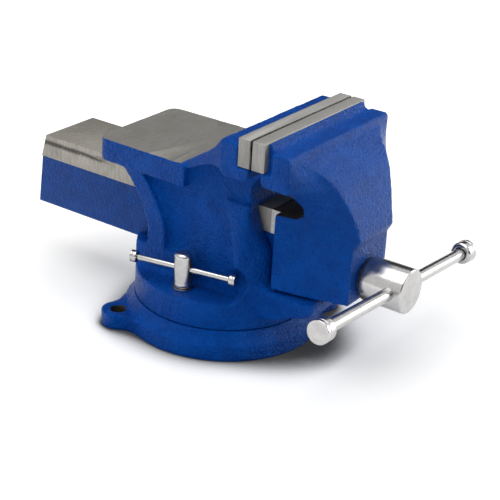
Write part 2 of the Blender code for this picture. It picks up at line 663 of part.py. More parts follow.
def make_body(shop):
    """Body that turns on the base, with the drum, tower, anvil and rear jaw in one casting."""
    profile = [(0.0, ANVIL_BOTTOM), (DRUM_RADIUS, ANVIL_BOTTOM), (DRUM_RADIUS, SHOULDER),
               (DRUM_RADIUS, DRUM_BOTTOM), (0.0, DRUM_BOTTOM)]
    body = shop.paint(turned("vise_body", profile, shop.parts), "blue_paint")
    wide = DRUM_RADIUS + OVERRUN
    shape = shop.tool(box_mesh("foot_shape", (-wide, -wide, 0.0), (wide, wide, SHOULDER)))
    shop.join(shape, box_mesh("rear_block", (-BLOCK_HALF_WIDTH, 0.0, SHOULDER - SINK),
                              (BLOCK_HALF_WIDTH, wide, SHOULDER + BLOCK_RISE)))
    shop.combine(shape, make_front_rib(shop), "UNION")
    shop.combine(body, shape, "INTERSECT")

    levels = [(tower_back(share), tower_height(share)) for share in TOWER_LEVEL_SHARES]
    root = SHOULDER - SINK
    roof = ANVIL_BOTTOM + SINK
    tower = [(-FRONT_RIB_INNER - SINK, root), (TOWER_BACK - SINK, root)]
    tower += [(y - SINK, z) for y, z in levels]
    tower += [(levels[-1][0] - SINK, roof), (rib_flank(1.0) - SINK, roof)]
    tower += [(rib_flank(share) - SINK, tower_height(share)) for share in TOWER_LEVEL_SHARES[::-1]]
    shop.join(body, side_mesh("tower", tower, TOWER_HALF_WIDTH))
    rib = [(TOWER_BACK - REAR_RIB_WIDTH, root), (TOWER_BACK, root)] + levels + [(levels[-1][0], roof)]
    rib += [(levels[-1][0] - REAR_RIB_WIDTH, roof)]
    rib += [(y - REAR_RIB_WIDTH, z) for y, z in levels[::-1]]
    shop.join(body, side_mesh("rear_rib", rib, BLOCK_HALF_WIDTH))
    for maker in (make_neck, make_slope, make_rear_jaw, make_tongue, make_anvil):
        shop.combine(body, maker(shop), "UNION")

    shop.cut(body, box_mesh("channel", (-CHANNEL_HALF_WIDTH, -TONGUE_REACH - OVERRUN, CHANNEL_FLOOR),
                            (CHANNEL_HALF_WIDTH, ANVIL_BACK + OVERRUN, CHANNEL_TOP)))
    floor_underside = CHANNEL_FLOOR - CHANNEL_FLOOR_THICKNESS
    hollow = [(0.0, floor_underside), (HOLLOW_NECK_RADIUS, floor_underside),
              (HOLLOW_NECK_RADIUS, SHOULDER - DRUM_ROOF), (DRUM_HOLLOW_RADIUS, SHOULDER - DRUM_ROOF),
              (DRUM_HOLLOW_RADIUS, DRUM_BOTTOM - OVERRUN), (0.0, DRUM_BOTTOM - OVERRUN)]
    shop.combine(body, shop.tool(turned("drum_hollow", hollow, shop.tools, BORE_STEPS)), "DIFFERENCE")
    shop.cut(body, rod_mesh("stem_hole", NUT_STEM_DIAMETER / 2 + CLEARANCE, floor_underside - OVERRUN,
                            CHANNEL_FLOOR + OVERRUN, SMALL_STEPS))
    for side in (-1, 1):
        hole = shop.tool(rod_mesh("lock_bolt_hole", LOCK_BOLT_DIAMETER / 2 + CLEARANCE,
                                  DRUM_BOTTOM - OVERRUN, SHOULDER + OVERRUN, SMALL_STEPS))
        shop.combine(body, put(hole, (side * SLOT_RADIUS, 0.0, 0.0)), "DIFFERENCE")
    cut_screw_holes(shop, body, REAR_PLATE_FACE, 1)
    return body


def front_at(height):
    """Half width and place of the front jaw's face at a height, behind the raised shield."""
    top = PLATE_TOP - SHIELD_TOP_DROP
    stations = [shield_station(shares) for shares in SHIELD_SHARES]
    if height <= top - SHIELD_HEIGHT:
        return JAW_FRONT_HALF_WIDTH, -JAW_FRONT
    for upper, lower in zip(stations, stations[1:]):
        if height >= lower[2]:
            share = min(1.0, (height - lower[2]) / (upper[2] - lower[2]))
            width = between(lower[0], upper[0], share) + SHIELD_BORDER
            return width, between(lower[1], upper[1], share) + SHIELD_PROUD
    return JAW_FRONT_HALF_WIDTH, -JAW_FRONT


def shield_station(shares):
    """Half width, place and height of the shield's edge at one set of shares."""
    fall, reach, narrowing = shares
    width = between(SHIELD_TOP_HALF_WIDTH, JAW_FRONT_HALF_WIDTH - SHIELD_BORDER, narrowing)
    place = -between(SHIELD_TOP_REACH, SHIELD_REACH, reach)
    return width, place, PLATE_TOP - SHIELD_TOP_DROP - SHIELD_HEIGHT * fall


def jaw_ring(back, back_half, bend, bend_half, height):
    """One level of the front jaw: straight back, bent sides and narrower front."""
    front_half, front = front_at(height)
    half = [(back_half, back, height), (bend_half, bend, height), (front_half, front, height)]
    return half + [(-x, y, z) for x, y, z in half[::-1]]


def make_jaw_casting(shop):
    """Lower part of the front jaw, whose sides spread towards the head."""
    flare_start = LIP_BOTTOM - JAW_FLARE_HEIGHT
    widest = JAW_WIDTH / 2 - SHIELD_BORDER
    base = (-JAW_BACK, JAW_SIDE_HALF_WIDTH, -JAW_SIDE_BEND, JAW_SIDE_BEND_HALF_WIDTH)
    shield_foot = PLATE_TOP - SHIELD_TOP_DROP - SHIELD_HEIGHT
    rings = [jaw_ring(*base, BEAM_BOTTOM + JAW_FLOOR_LIFT), jaw_ring(*base, shield_foot)]
    lip = -JAW_PLANE - FRONT_LIP_REACH
    for rise, spread, bend_spread in JAW_FLARE_SHARES:
        rings.append(jaw_ring(between(-JAW_BACK, lip, spread), between(JAW_SIDE_HALF_WIDTH, widest, spread),
                              between(-JAW_SIDE_BEND, -COLUMN_FRONT, bend_spread),
                              between(JAW_SIDE_BEND_HALF_WIDTH, widest, bend_spread),
                              between(flare_start, LIP_BOTTOM, rise)))
    return shop.tool(loft_mesh("jaw_casting", rings))


def make_jaw_brow(shop):
    """Upper front of the jaw, between the head's end columns and the shield."""
    widest = JAW_WIDTH / 2 - SHIELD_BORDER
    heights = [shield_station(shares)[2] for shares in SHIELD_SHARES]
    heights = [LIP_BOTTOM - SHIELD_BORDER] + [z for z in heights[::-1] if z > LIP_BOTTOM]
    rings = [jaw_ring(-COLUMN_BACK - SINK, widest, -COLUMN_FRONT, widest, z) for z in heights]
    crest = [(widest, -COLUMN_BACK - SINK), (widest, -COLUMN_FRONT), (SHIELD_TOP_HALF_WIDTH, -COLUMN_FRONT)]
    crest_height = FRONT_JAW_TOP - LIP_ROUND / 2
    rings.append([(x, y, crest_height) for x, y in crest] + [(-x, y, crest_height) for x, y in crest[::-1]])
    return shop.tool(loft_mesh("jaw_brow", rings))


def make_shield(shop):
    """Raised front face, narrow at its foot, with a sloping skirt under it."""
    rings = []
    for shares in SHIELD_SHARES:
        half, front, height = shield_station(shares)
        rings.append(shield_ring(half, front, height))
    half, front, height = shield_station(SHIELD_SHARES[-1])
    rings.append(shield_ring(half, front + SHIELD_PROUD + SHIELD_BORDER, height - SHIELD_SKIRT))
    return shop.tool(loft_mesh("shield", rings))


def shield_ring(half, front, height):
    back = front + SHIELD_DEPTH
    return [(half, front, height), (half, back, height), (-half, back, height), (-half, front, height)]


def make_jaw_head(shop):
    """End columns and lip of the front jaw, seen as an L from the side."""
    lip = -JAW_PLANE - FRONT_LIP_REACH
    outline = [
        (lip, LIP_TOP),
        (lip, LIP_BOTTOM + LIP_ROUND),
        (lip - LIP_ROUND, LIP_BOTTOM),
        (-COLUMN_FRONT, LIP_BOTTOM),
        (-COLUMN_FRONT, FRONT_JAW_TOP - LIP_ROUND / 2),
        (-COLUMN_FRONT + LIP_ROUND / 2, FRONT_JAW_TOP),
        (-COLUMN_BACK, FRONT_JAW_TOP),
        (-COLUMN_BACK, LIP_TOP),
    ]
    return shop.tool(side_mesh("jaw_head", outline, JAW_WIDTH / 2))


def make_ridge(shop):
    """Seat wall of the front plate, which thins to a ridge as high as the plate."""
    outline = [
        (FRONT_SEAT, LIP_TOP - SINK),
        (FRONT_SEAT, PLATE_TOP - CLEARANCE),
        (FRONT_SEAT - RIDGE_THICKNESS, PLATE_TOP - CLEARANCE),
        (FRONT_SEAT - 2 * RIDGE_THICKNESS, FRONT_JAW_TOP + RIDGE_THICKNESS),
        (-COLUMN_BACK - OVERRUN, FRONT_JAW_TOP - CLEARANCE),
        (-COLUMN_BACK - SINK, LIP_TOP - SINK),
    ]
    return shop.tool(side_mesh("ridge", outline, RIDGE_HALF_WIDTH))


def make_sliding_jaw(shop):
    """Front jaw in one casting with its hollow beam, open underneath and at the rear."""
    strip_bottom = BEAM_TOP - BEAM_STRIP_DEPTH
    root = -JAW_BACK - SINK
    strip = [(root, strip_bottom), (BEAM_BACK + BEAM_BACK_LEAN, strip_bottom), (BEAM_BACK, BEAM_TOP),
             (root, BEAM_TOP)]
    jaw = shop.piece("sliding_jaw", side_mesh("sliding_jaw", strip, BEAM_WIDTH / 2), "blue_paint")
    back = BEAM_BACK + BEAM_BACK_LEAN - BEAM_STRIP_STEP
    beam = [(root, BEAM_BOTTOM), (back + BEAM_FOOT_LEAN, BEAM_BOTTOM), (back, strip_bottom),
            (back - BEAM_BACK_LEAN, strip_bottom + SINK), (root, strip_bottom + SINK)]
    shop.join(jaw, side_mesh("beam", beam, BEAM_WIDTH / 2 - BEAM_STRIP_STEP))
    for maker in (make_jaw_casting, make_jaw_brow, make_jaw_head, make_ridge, make_shield):
        shop.combine(jaw, maker(shop), "UNION")
    shop.cut(jaw, box_mesh("beam_cavity", (-BEAM_CAVITY_HALF_WIDTH, WALL_BACK, BEAM_BOTTOM - OVERRUN),
                           (BEAM_CAVITY_HALF_WIDTH, back + BEAM_FOOT_LEAN + OVERRUN, BEAM_CAVITY_TOP)))
    radius = THROAT_HEIGHT / 2
    end = arc((-THROAT_END + radius, THROAT_FLOOR + radius), radius, 270, 90, 2 * ARC_STEPS)
    slot = end + [(-JAW_BACK + OVERRUN, THROAT_TOP), (-JAW_BACK + OVERRUN, THROAT_FLOOR)]
    shop.cut(jaw, side_mesh("throat", slot, JAW_WIDTH / 2 + OVERRUN))
    bore = shop.tool(rod_mesh("screw_bore", JOURNAL_DIAMETER / 2 + CLEARANCE, -OVERRUN, JAW_WALL + OVERRUN))
    shop.combine(jaw, put(bore, (0.0, -JAW_FRONT, SCREW_AXIS), (-90, 0.0, 0.0)), "DIFFERENCE")
    cut_screw_holes(shop, jaw, FRONT_PLATE_FACE, -1)
    return jaw


def make_plate(shop, name, face, inward):
    """Hardened jaw plate with two counterbored holes, its face at the jaw plane."""
    low = (-JAW_WIDTH / 2, min(face, face + inward * PLATE_THICKNESS), PLATE_BOTTOM)
    high = (JAW_WIDTH / 2, max(face, face + inward * PLATE_THICKNESS), PLATE_TOP)
    plate = shop.piece(name, box_mesh(name, low, high), "ground_steel")
    rounded(plate, PLATE_EDGE, 1)
    for x, z in screw_places():
        turn = (-90 * inward, 0.0, 0.0)
        shank = shop.tool(rod_mesh("plate_hole", PLATE_SCREW_SHANK_DIAMETER / 2 + CLEARANCE, -OVERRUN,
                                   PLATE_THICKNESS + OVERRUN, SMALL_STEPS))
        shop.combine(plate, put(shank, (x, face, z), turn), "DIFFERENCE")
        head = shop.tool(rod_mesh("plate_counterbore", PLATE_SCREW_HEAD_DIAMETER / 2 + CLEARANCE, -OVERRUN,
                                  PLATE_SCREW_INSET + PLATE_SCREW_HEAD_LENGTH + CLEARANCE, SMALL_STEPS))
        shop.combine(plate, put(head, (x, face, z), turn), "DIFFERENCE")
    return plate


def make_plate_screws(shop, name, face, inward):
    """Socket screws of one plate, heads sunk in its counterbores."""
    screws = []
    tip = -PLATE_SCREW_HEAD_LENGTH - PLATE_SCREW_SHANK_LENGTH
    profile = [(0.0, 0.0), (PLATE_SCREW_HEAD_DIAMETER / 2, 0.0),
               (PLATE_SCREW_HEAD_DIAMETER / 2, -PLATE_SCREW_HEAD_LENGTH),
               (PLATE_SCREW_SHANK_DIAMETER / 2, -PLATE_SCREW_HEAD_LENGTH),
               (PLATE_SCREW_SHANK_DIAMETER / 2, tip), (0.0, tip)]
    for side, (x, z) in zip(("left", "right"), screw_places()):
        screw = turned(f"{name}_{side}", profile, shop.parts, SMALL_STEPS)
        shop.paint(screw, "dark_steel")
        socket = shop.tool(rod_mesh("screw_socket", PLATE_SCREW_SOCKET_DIAMETER / 2,
                                    -PLATE_SCREW_SOCKET_DEPTH, OVERRUN, HEX_SIDES))
        place = (x, face + inward * PLATE_SCREW_INSET, z)
        turn = (90 * inward, 0.0, 0.0)
        shop.combine(screw, put(socket, place, turn), "DIFFERENCE")
        screws.append(put(screw, place, turn))
    return screws


def thread_mesh(name, bottom, top):
    """Right-handed V thread on the local Z axis, run out to its root diameter at both ends."""
    crest = THREAD_DIAMETER / 2
    root = crest - THREAD_DEPTH
    rows = 2 * math.ceil((top - bottom) / THREAD_PITCH) + 4
    first = bottom - THREAD_PITCH
    bm = bmesh.new()
    grid = []
    for row in range(rows):
        line = []
        for step in range(THREAD_STEPS):
            height = first + THREAD_PITCH * (row / 2 + step / THREAD_STEPS)
            clipped = min(max(height, bottom), top)
            radius = crest if row % 2 and clipped == height else root
            angle = 2 * math.pi * step / THREAD_STEPS
            line.append(bm.verts.new((radius * math.cos(angle), radius * math.sin(angle), clipped)))
        grid.append(line)
    for row in range(rows - 3):
        for step in range(THREAD_STEPS):
            wraps = step + 1 == THREAD_STEPS
            after = grid[row + 2][0] if wraps else grid[row][step + 1]
            above = grid[row + 3][0] if wraps else grid[row + 1][step + 1]
            bm.faces.new((grid[row][step], after, above, grid[row + 1][step]))
    bmesh.ops.remove_doubles(bm, verts=bm.verts, dist=MERGE_DISTANCE)
    loose = [vert for vert in bm.verts if not vert.link_faces]
    bmesh.ops.delete(bm, geom=loose, context="VERTS")
    rims = [edge for edge in bm.edges if len(edge.link_faces) == 1]
    bmesh.ops.holes_fill(bm, edges=rims, sides=THREAD_STEPS)
    return mesh_from(bm, name)


def make_spindle(shop):
    """Screw with its round head, journal and thread; local Z points out of the vise's front."""
    def along(place):
        return -(place + JAW_FRONT)

    head = SPINDLE_HEAD_DIAMETER / 2
    profile = [
        (0.0, along(HEAD_FRONT)),
        (head - SPINDLE_HEAD_CHAMFER, along(HEAD_FRONT)),
        (head, along(HEAD_FRONT) - SPINDLE_HEAD_CHAMFER),
        (head, along(HEAD_BACK) + SPINDLE_HEAD_CHAMFER),
        (head - SPINDLE_HEAD_CHAMFER, along(HEAD_BACK)),
        (JOURNAL_DIAMETER / 2, along(HEAD_BACK)),
        (JOURNAL_DIAMETER / 2, along(THREAD_START)),
        (0.0, along(THREAD_START)),
    ]
    spindle = shop.paint(turned("spindle", profile, shop.parts, BORE_STEPS), "chrome")
    place = (0.0, -JAW_FRONT, SCREW_AXIS)
    tip = along(BEAM_BACK - SCREW_TIP_INSET)
    thread = shop.tool(thread_mesh("thread", tip, along(THREAD_START) + SINK))
    shop.combine(spindle, put(thread, place, (90, 0.0, 0.0)), "UNION")
    reach = head + OVERRUN
    hole = shop.tool(rod_mesh("handle_hole", HANDLE_DIAMETER / 2 + CLEARANCE, -reach, reach))
    shop.combine(spindle, put(hole, HANDLE_PLACE, (0.0, 90 + HANDLE_TILT, 0.0)), "DIFFERENCE")
    cut_pin_hole(shop, spindle)
    return put(spindle, place, (90, 0.0, 0.0))


def cut_pin_hole(shop, thing):
    """Upright hole for the pin through the collar and the journal."""
    reach = COLLAR_DIAMETER / 2 + OVERRUN
    hole = shop.tool(rod_mesh("pin_hole", PIN_DIAMETER / 2 + CLEARANCE, -reach, reach, SMALL_STEPS))
    shop.combine(thing, put(hole, (0.0, (COLLAR_FRONT + COLLAR_BACK) / 2, SCREW_AXIS)), "DIFFERENCE")


def ring_profile(outer, bore, bottom, top):
    return [(outer, top), (outer, bottom), (bore, bottom), (bore, top)]


def make_screw_fittings(shop):
    """Washer in front of the jaw's wall, pinned collar behind it, and the nut on the channel's floor."""
    bore = JOURNAL_DIAMETER / 2 + CLEARANCE
    washer = turned("spindle_washer", ring_profile(SPINDLE_WASHER_DIAMETER / 2, bore, 0.0, WASHER_THICKNESS),
                    shop.parts, BORE_STEPS, ring=True)
    put(shop.paint(washer, "dark_steel"), (0.0, -JAW_FRONT - CLEARANCE, SCREW_AXIS), (90, 0.0, 0.0))
    collar = turned("retaining_collar", ring_profile(COLLAR_DIAMETER / 2, bore, -COLLAR_LENGTH, 0.0),
                    shop.parts, BORE_STEPS, ring=True)
    put(shop.paint(collar, "dark_steel"), (0.0, COLLAR_FRONT, SCREW_AXIS), (90, 0.0, 0.0))
    cut_pin_hole(shop, collar)
    reach = COLLAR_DIAMETER / 2 - CLEARANCE
    rod = rod_mesh("retaining_pin", PIN_DIAMETER / 2, -reach, reach, SMALL_STEPS)
    pin = shop.piece("retaining_pin", rod, "dark_steel")
    put(pin, (0.0, (COLLAR_FRONT + COLLAR_BACK) / 2, SCREW_AXIS))
    return washer, collar, pin


def make_spindle_nut(shop):
    """Nut block on the channel's floor, with a stem through it that a washer and a hex nut hold."""
    bottom = CHANNEL_FLOOR + CLEARANCE
    block = box_mesh("spindle_nut", (-NUT_HALF_WIDTH, -NUT_LENGTH / 2, bottom),
                     (NUT_HALF_WIDTH, NUT_LENGTH / 2, bottom + NUT_HEIGHT))
    nut = rounded(shop.piece("spindle_nut", block, "nut_iron"), NUT_EDGE)
    shop.join(nut, rod_mesh("nut_stem", NUT_STEM_DIAMETER / 2, bottom - NUT_STEM_LENGTH, bottom + OVERRUN,
                            SMALL_STEPS))
    reach = NUT_LENGTH / 2 + OVERRUN
    bore = shop.tool(rod_mesh("nut_bore", THREAD_DIAMETER / 2 + CLEARANCE, -reach, reach))
    shop.combine(nut, put(bore, (0.0, 0.0, SCREW_AXIS), (90, 0.0, 0.0)), "DIFFERENCE")

    seat = CHANNEL_FLOOR - CHANNEL_FLOOR_THICKNESS - CLEARANCE
    stem_bore = NUT_STEM_DIAMETER / 2 + CLEARANCE
    washer = turned("stem_washer", ring_profile(NUT_WASHER_DIAMETER / 2, stem_bore, -WASHER_THICKNESS, 0.0),
                    shop.parts, BORE_STEPS, ring=True)
    put(shop.paint(washer, "dark_steel"), (0.0, 0.0, seat))
    corner = STEM_NUT_WIDTH / 2 / math.cos(math.pi / HEX_SIDES)
    top = seat - WASHER_THICKNESS - CLEARANCE
    shape = rod_mesh("stem_nut", corner, -STEM_NUT_HEIGHT, 0.0, HEX_SIDES)
    hexagon = put(shop.piece("stem_nut", shape, "dark_steel"), (0.0, 0.0, top))
    hole = shop.tool(rod_mesh("stem_nut_bore", stem_bore, -STEM_NUT_HEIGHT - OVERRUN, OVERRUN, SMALL_STEPS))
    shop.combine(hexagon, put(hole, (0.0, 0.0, top)), "DIFFERENCE")
    return nut, washer, hexagon


def cap_profile(diameter, length, wall, bar_diameter):
    """End cap from its outer face at zero, with a blind bore for the bar."""
    bore = bar_diameter / 2 + CLEARANCE
    outside = [(diameter / 2 * radius, -length * depth) for radius, depth in CAP_PROFILE_SHARES]
    return [(0.0, 0.0)] + outside + [(bore, -length), (bore, -wall), (0.0, -wall)]


def make_handle(shop):
    """Sliding T bar through the spindle's head, with a cap on each end."""
    half = HANDLE_LENGTH / 2
    bar = shop.piece("handle_bar", rod_mesh("handle_bar", HANDLE_DIAMETER / 2, HANDLE_SHIFT - half,
                                            HANDLE_SHIFT + half), "chrome")
    put(bar, HANDLE_PLACE, (0.0, 90 + HANDLE_TILT, 0.0))
    profile = cap_profile(HANDLE_CAP_DIAMETER, HANDLE_CAP_LENGTH, HANDLE_CAP_WALL, HANDLE_DIAMETER)
    tilt = math.radians(HANDLE_TILT)
    caps = []
    for name, side in (("handle_cap_left", -1), ("handle_cap_right", 1)):
        reach = HANDLE_SHIFT + side * (half + CLEARANCE + HANDLE_CAP_WALL)
        place = (HANDLE_PLACE[0] + reach * math.cos(tilt), HANDLE_PLACE[1],
                 HANDLE_PLACE[2] - reach * math.sin(tilt))
        cap = shop.paint(turned(name, profile, shop.parts, BORE_STEPS), "chrome")
        caps.append(put(cap, place, (0.0, side * 90 + HANDLE_TILT, 0.0)))
    return bar, caps


def make_lock(shop, name, side):
    """Clamping bolt, washer, nut and sliding bar on one side of the drum."""
    bolt_top = LOCK_BAR_HEIGHT - LOCK_BAR_DIAMETER / 2 - LOCK_BOLT_TIP
    head_top = SLOT_CEILING - CLEARANCE
    half = LOCK_BOLT_HEAD_WIDTH / 2
    head = box_mesh(f"{name}_lock_bolt", (-half, -half, head_top - LOCK_BOLT_HEAD_HEIGHT),
                    (half, half, head_top))
    bolt = put(shop.piece(f"{name}_lock_bolt", head, "dark_steel"), (side * SLOT_RADIUS, 0.0, 0.0))
    shank = shop.tool(rod_mesh("lock_shank", LOCK_BOLT_DIAMETER / 2, head_top - OVERRUN, bolt_top,
                               SMALL_STEPS))
    shop.combine(bolt, put(shank, (side * SLOT_RADIUS, 0.0, 0.0)), "UNION")

    bore = LOCK_BOLT_DIAMETER / 2 + CLEARANCE
    washer_shape = ring_profile(LOCK_WASHER_DIAMETER / 2, bore, 0.0, LOCK_WASHER_THICKNESS)
    washer = turned(f"{name}_lock_washer", washer_shape, shop.parts, BORE_STEPS, ring=True)
    put(shop.paint(washer, "chrome"), (side * SLOT_RADIUS, 0.0, SHOULDER + CLEARANCE))

    radius = LOCK_NUT_DIAMETER / 2
    dome = [(radius * width, LOCK_NUT_HEIGHT - LOCK_NUT_DOME * fall) for width, fall in LOCK_DOME_SHARES]
    roof = bolt_top + CLEARANCE - LOCK_NUT_BOTTOM
    profile = [(0.0, LOCK_NUT_HEIGHT)] + dome + [(radius, 0.0), (bore, 0.0), (bore, roof), (0.0, roof)]
    nut = shop.paint(turned(f"{name}_lock_nut", profile, shop.parts, BORE_STEPS), "chrome")
    put(nut, (side * SLOT_RADIUS, 0.0, LOCK_NUT_BOTTOM))
    bar_turn = (90, 0.0, -side * LOCK_BAR_TURN)
    bar_place = (side * SLOT_RADIUS, 0.0, LOCK_BAR_HEIGHT)
    reach = radius + OVERRUN
    hole = shop.tool(rod_mesh("lock_bar_hole", LOCK_BAR_DIAMETER / 2 + CLEARANCE, -reach, reach,
                              SMALL_STEPS))
    shop.combine(nut, put(hole, bar_place, bar_turn), "DIFFERENCE")

    long = LOCK_BAR_LENGTH / 2
    bar = shop.piece(f"{name}_lock_bar", rod_mesh(f"{name}_lock_bar", LOCK_BAR_DIAMETER / 2, -long, long,
                                                  SMALL_STEPS), "chrome")
    put(bar, bar_place, bar_turn)
    cap_shape = cap_profile(LOCK_CAP_DIAMETER, LOCK_CAP_LENGTH, LOCK_CAP_WALL, LOCK_BAR_DIAMETER)
    turn = math.radians(LOCK_BAR_TURN)
    reach = long + CLEARANCE + LOCK_CAP_WALL
    caps = []
    for end, way in (("front", -1), ("rear", 1)):
        place = (side * SLOT_RADIUS + side * way * reach * math.sin(turn), way * reach * math.cos(turn),
                 LOCK_BAR_HEIGHT)
        cap = shop.paint(turned(f"{name}_lock_cap_{end}", cap_shape, shop.parts, SMALL_STEPS), "chrome")
        caps.append(put(cap, place, (-way * 90, 0.0, -side * LOCK_BAR_TURN)))
    return bolt, washer, nut, bar, caps


def attach(children, parent):
    """Parent the children and keep them where they are."""
    for child in children:
        child.parent = parent
        child.matrix_parent_inverse = parent.matrix_world.inverted()


def main():
    clear_scene()
    shop = Workshop()
    base = make_base(shop)
    body = make_body(shop)
    rear_plate = make_plate(shop, "rear_jaw_plate", REAR_PLATE_FACE, 1)
    rear_screws = make_plate_screws(shop, "rear_plate_screw", REAR_PLATE_FACE, 1)
    jaw = make_sliding_jaw(shop)
    front_plate = make_plate(shop, "front_jaw_plate", FRONT_PLATE_FACE, -1)
    front_screws = make_plate_screws(shop, "front_plate_screw", FRONT_PLATE_FACE, -1)
    spindle = make_spindle(shop)
    washer, collar, pin = make_screw_fittings(shop)
    nut_pieces = make_spindle_nut(shop)
    bar, caps = make_handle(shop)
    locks = [make_lock(shop, "left", -1), make_lock(shop, "right", 1)]

    bpy.context.view_layer.update()
    attach([body], base)
    attach([rear_plate, *rear_screws, *nut_pieces, jaw], body)
    attach([front_plate, *front_screws, spindle, washer], jaw)
    attach([collar, pin, bar], spindle)
    attach(caps, bar)
    for bolt, lock_washer, nut, lock_bar, lock_caps in locks:
        attach([bolt, lock_washer, nut], body)
        attach([lock_bar], nut)
        attach(lock_caps, lock_bar)


main()
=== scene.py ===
"""Looks of the swivel bench vise: soft castings, machined and chromed steel, studio and camera.

The castings are remeshed copies of their solids with fillets, rounded edges and cast skin, and their
machined faces are cut crisp again afterwards. Lengths are in metres.
"""
import math

import bmesh
import bpy
import numpy as np
from mathutils import Matrix, Vector, noise


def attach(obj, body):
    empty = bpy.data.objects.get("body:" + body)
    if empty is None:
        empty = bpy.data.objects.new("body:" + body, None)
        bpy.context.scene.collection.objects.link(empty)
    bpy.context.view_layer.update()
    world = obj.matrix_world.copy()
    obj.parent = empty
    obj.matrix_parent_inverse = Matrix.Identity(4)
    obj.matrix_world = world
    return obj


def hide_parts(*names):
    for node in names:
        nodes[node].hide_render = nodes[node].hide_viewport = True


# Levels and planes of the solids
BASE_RIM_HEIGHT = 0.0110
DRUM_BOTTOM = 0.0201
SHOULDER = 0.0406
CHANNEL_FLOOR = 0.0542
CHANNEL_TOP = 0.1106
CHANNEL_HALF_WIDTH = 0.02705
BEAM_TOP = 0.1102
BEAM_HALF_WIDTH = 0.02675
BEAM_STRIP_BOTTOM = 0.0926
BEAM_HOLLOW_HALF_WIDTH = 0.0183
BEAM_ROOF = 0.0086
BEAM_MOUTH = 0.150
BEAM_FOOT = 0.04
ANVIL_BOTTOM = 0.1130
ANVIL_TOP = 0.1298
SLOPE_FOOT = 0.0115
LIP_TOP = 0.1501
FRONT_JAW_TOP = 0.1656
JAW_BACK = -0.0639
REAR_SEAT = -0.0491
FRONT_SEAT = -0.0709
REAR_PLATE_FACE = -0.0596
FRONT_PLATE_FACE = -0.0604
PLATE_HALF_WIDTH = 0.0625
RIB_FLANK = -0.0425
RIB_LEAN = 0.0175
TOWER_FRONT = 0.0595
TOWER_LEAN = 0.0125
LUG_HOLES = ((-0.06183, 0.04918), (0.06183, -0.04918))
LUG_HOLE_RADIUS = 0.00575

# Screw and handle
SCREW_AXIS = 0.06974
HEAD_BACK = -0.1221
HEAD_FRONT = -0.1546
HEAD_RADIUS = 0.0160
COLLAR_BACK = -0.0987
THREAD_BACK = 0.1480
THREAD_ROOT = 0.0072
THREAD_CREST = 0.0090
THREAD_PITCH = 0.0050
JOURNAL_RADIUS = 0.0100
HANDLE_RADIUS = 0.0045
HANDLE_HALF_LENGTH = 0.09975
HANDLE_SHIFT = -0.0005
HANDLE_TILT = 4.3
HANDLE_INSET = 0.0095
HANDLE_PLAY = 0.0007
CAP_RADIUS = 0.0083
CAP_LENGTH = 0.0110
CAP_WALL = 0.0033
CAP_SETBACK = 0.0002
CAP_PLAY = 0.0003

# Clamping nuts and their bars
LOCK_REACH = 0.0505
LOCK_BAR_HEIGHT = 0.0560
LOCK_BAR_RADIUS = 0.0022
LOCK_BAR_HALF_LENGTH = 0.0385
LOCK_BAR_TURN = 11.3
LOCK_NUT_BOTTOM = 0.0424
LOCK_NUT_RADIUS = 0.0065
LOCK_NUT_HEIGHT = 0.0262
LOCK_NUT_BORE = 0.0046
LOCK_NUT_ROOF = 0.0093
LOCK_CAP_RADIUS = 0.0044
LOCK_CAP_LENGTH = 0.0050
LOCK_CAP_WALL = 0.0027
LOCK_BITE = 3.0

# How the castings are worked: pairs say where a change fades in, skins are (wavelength, height)
BASE_HOLLOW = 0.0060
BASE_SOFT_RADII = (0.060, 0.062)
BASE_SLOPE_RADII = (0.0645, 0.0660)
BASE_SKIN_RADII = (0.062, 0.064)
BASE_SKIN_LEVELS = (0.0005, 0.002)
BASE_SKIN = ((0.011, 0.00022), (0.0032, 0.00007))
SOFT_RIB_TOP = (0.094, 0.112)
SOFT_FRONT = (-0.004, 0.016)
SOFT_THROAT_DEPTHS = (-0.040, -0.030)
SOFT_THROAT_TOP = (0.132, 0.140)
SOFT_RIM_RADII = (0.056, 0.060)
SLAB_START = 0.014
SLAB_SPARE = 0.001
TOWER_SETBACK = 0.0042
SETBACK_START = (0.080, 0.093)
SETBACK_END = (0.106, 0.116)
SETBACK_DEPTHS = (0.028, 0.046)
RIB_SWELL = 0.0024
SWELL_START = (0.052, 0.066)
SWELL_END = (0.100, 0.112)
RIB_GROWTH = 0.0012
FLANK_WIDTHS = (0.028, 0.034)
BODY_SKIN_RADII = (0.030, 0.034)
BODY_SKIN = ((0.013, 0.00032), (0.0033, 0.00016))
LEVER_ROOM = 0.0005
DENT_RADIUS = 0.0080
DENT_BLEND = 0.0005
JAW_SOFT_LEVELS = (0.085, 0.100)
JAW_SOFT_DEPTHS = (-0.093, -0.088)
JAW_SKIN = ((0.014, 0.00028), (0.0033, 0.00015))
POCKET_FRONT = -0.088
POCKET_BOTTOM = 0.109
POCKET_TOP = 0.139
PAINTED_THROAT_START = -0.0560
GROOVE_PITCH = 0.0026
GROOVE_DEPTH = 0.0006
GROOVE_CLEARANCE = 1.3 * GROOVE_DEPTH
GROOVE_HALF_WIDTH = 2.3 / 2.6 * GROOVE_PITCH / 2

# Mesh work
WELD = 0.00001
NEAR = 0.00005
SPARE = 0.0002
VOXEL = 0.0009
OVERRUN = 0.0200
FAR = 0.2
CREASE_ANGLE = 32.0
BEVEL_WIDTH = 0.0004
BEVEL_ANGLE = 40.0
TURNED_STEPS = 96
SMALL_STEPS = 48
THREAD_STEPS = 40

# Studio
WORLD_LEVEL = 0.24
FLOOR_SIZE = 8.0
FLOOR_DROP = 0.0001
CONTACT_DISTANCE = 0.05
PALE_CARD_LEVEL = 3.6
CARD_DISTANCE = 1.6
CARD_STEPS = 12
CAMERA_ANGLES = (-56.255, -25.041, 3.516)
CAMERA_PLACE = (-0.76529, -0.533318, 0.489254)
CAMERA_LENS = 100.8
CAMERA_SENSOR = 36.0

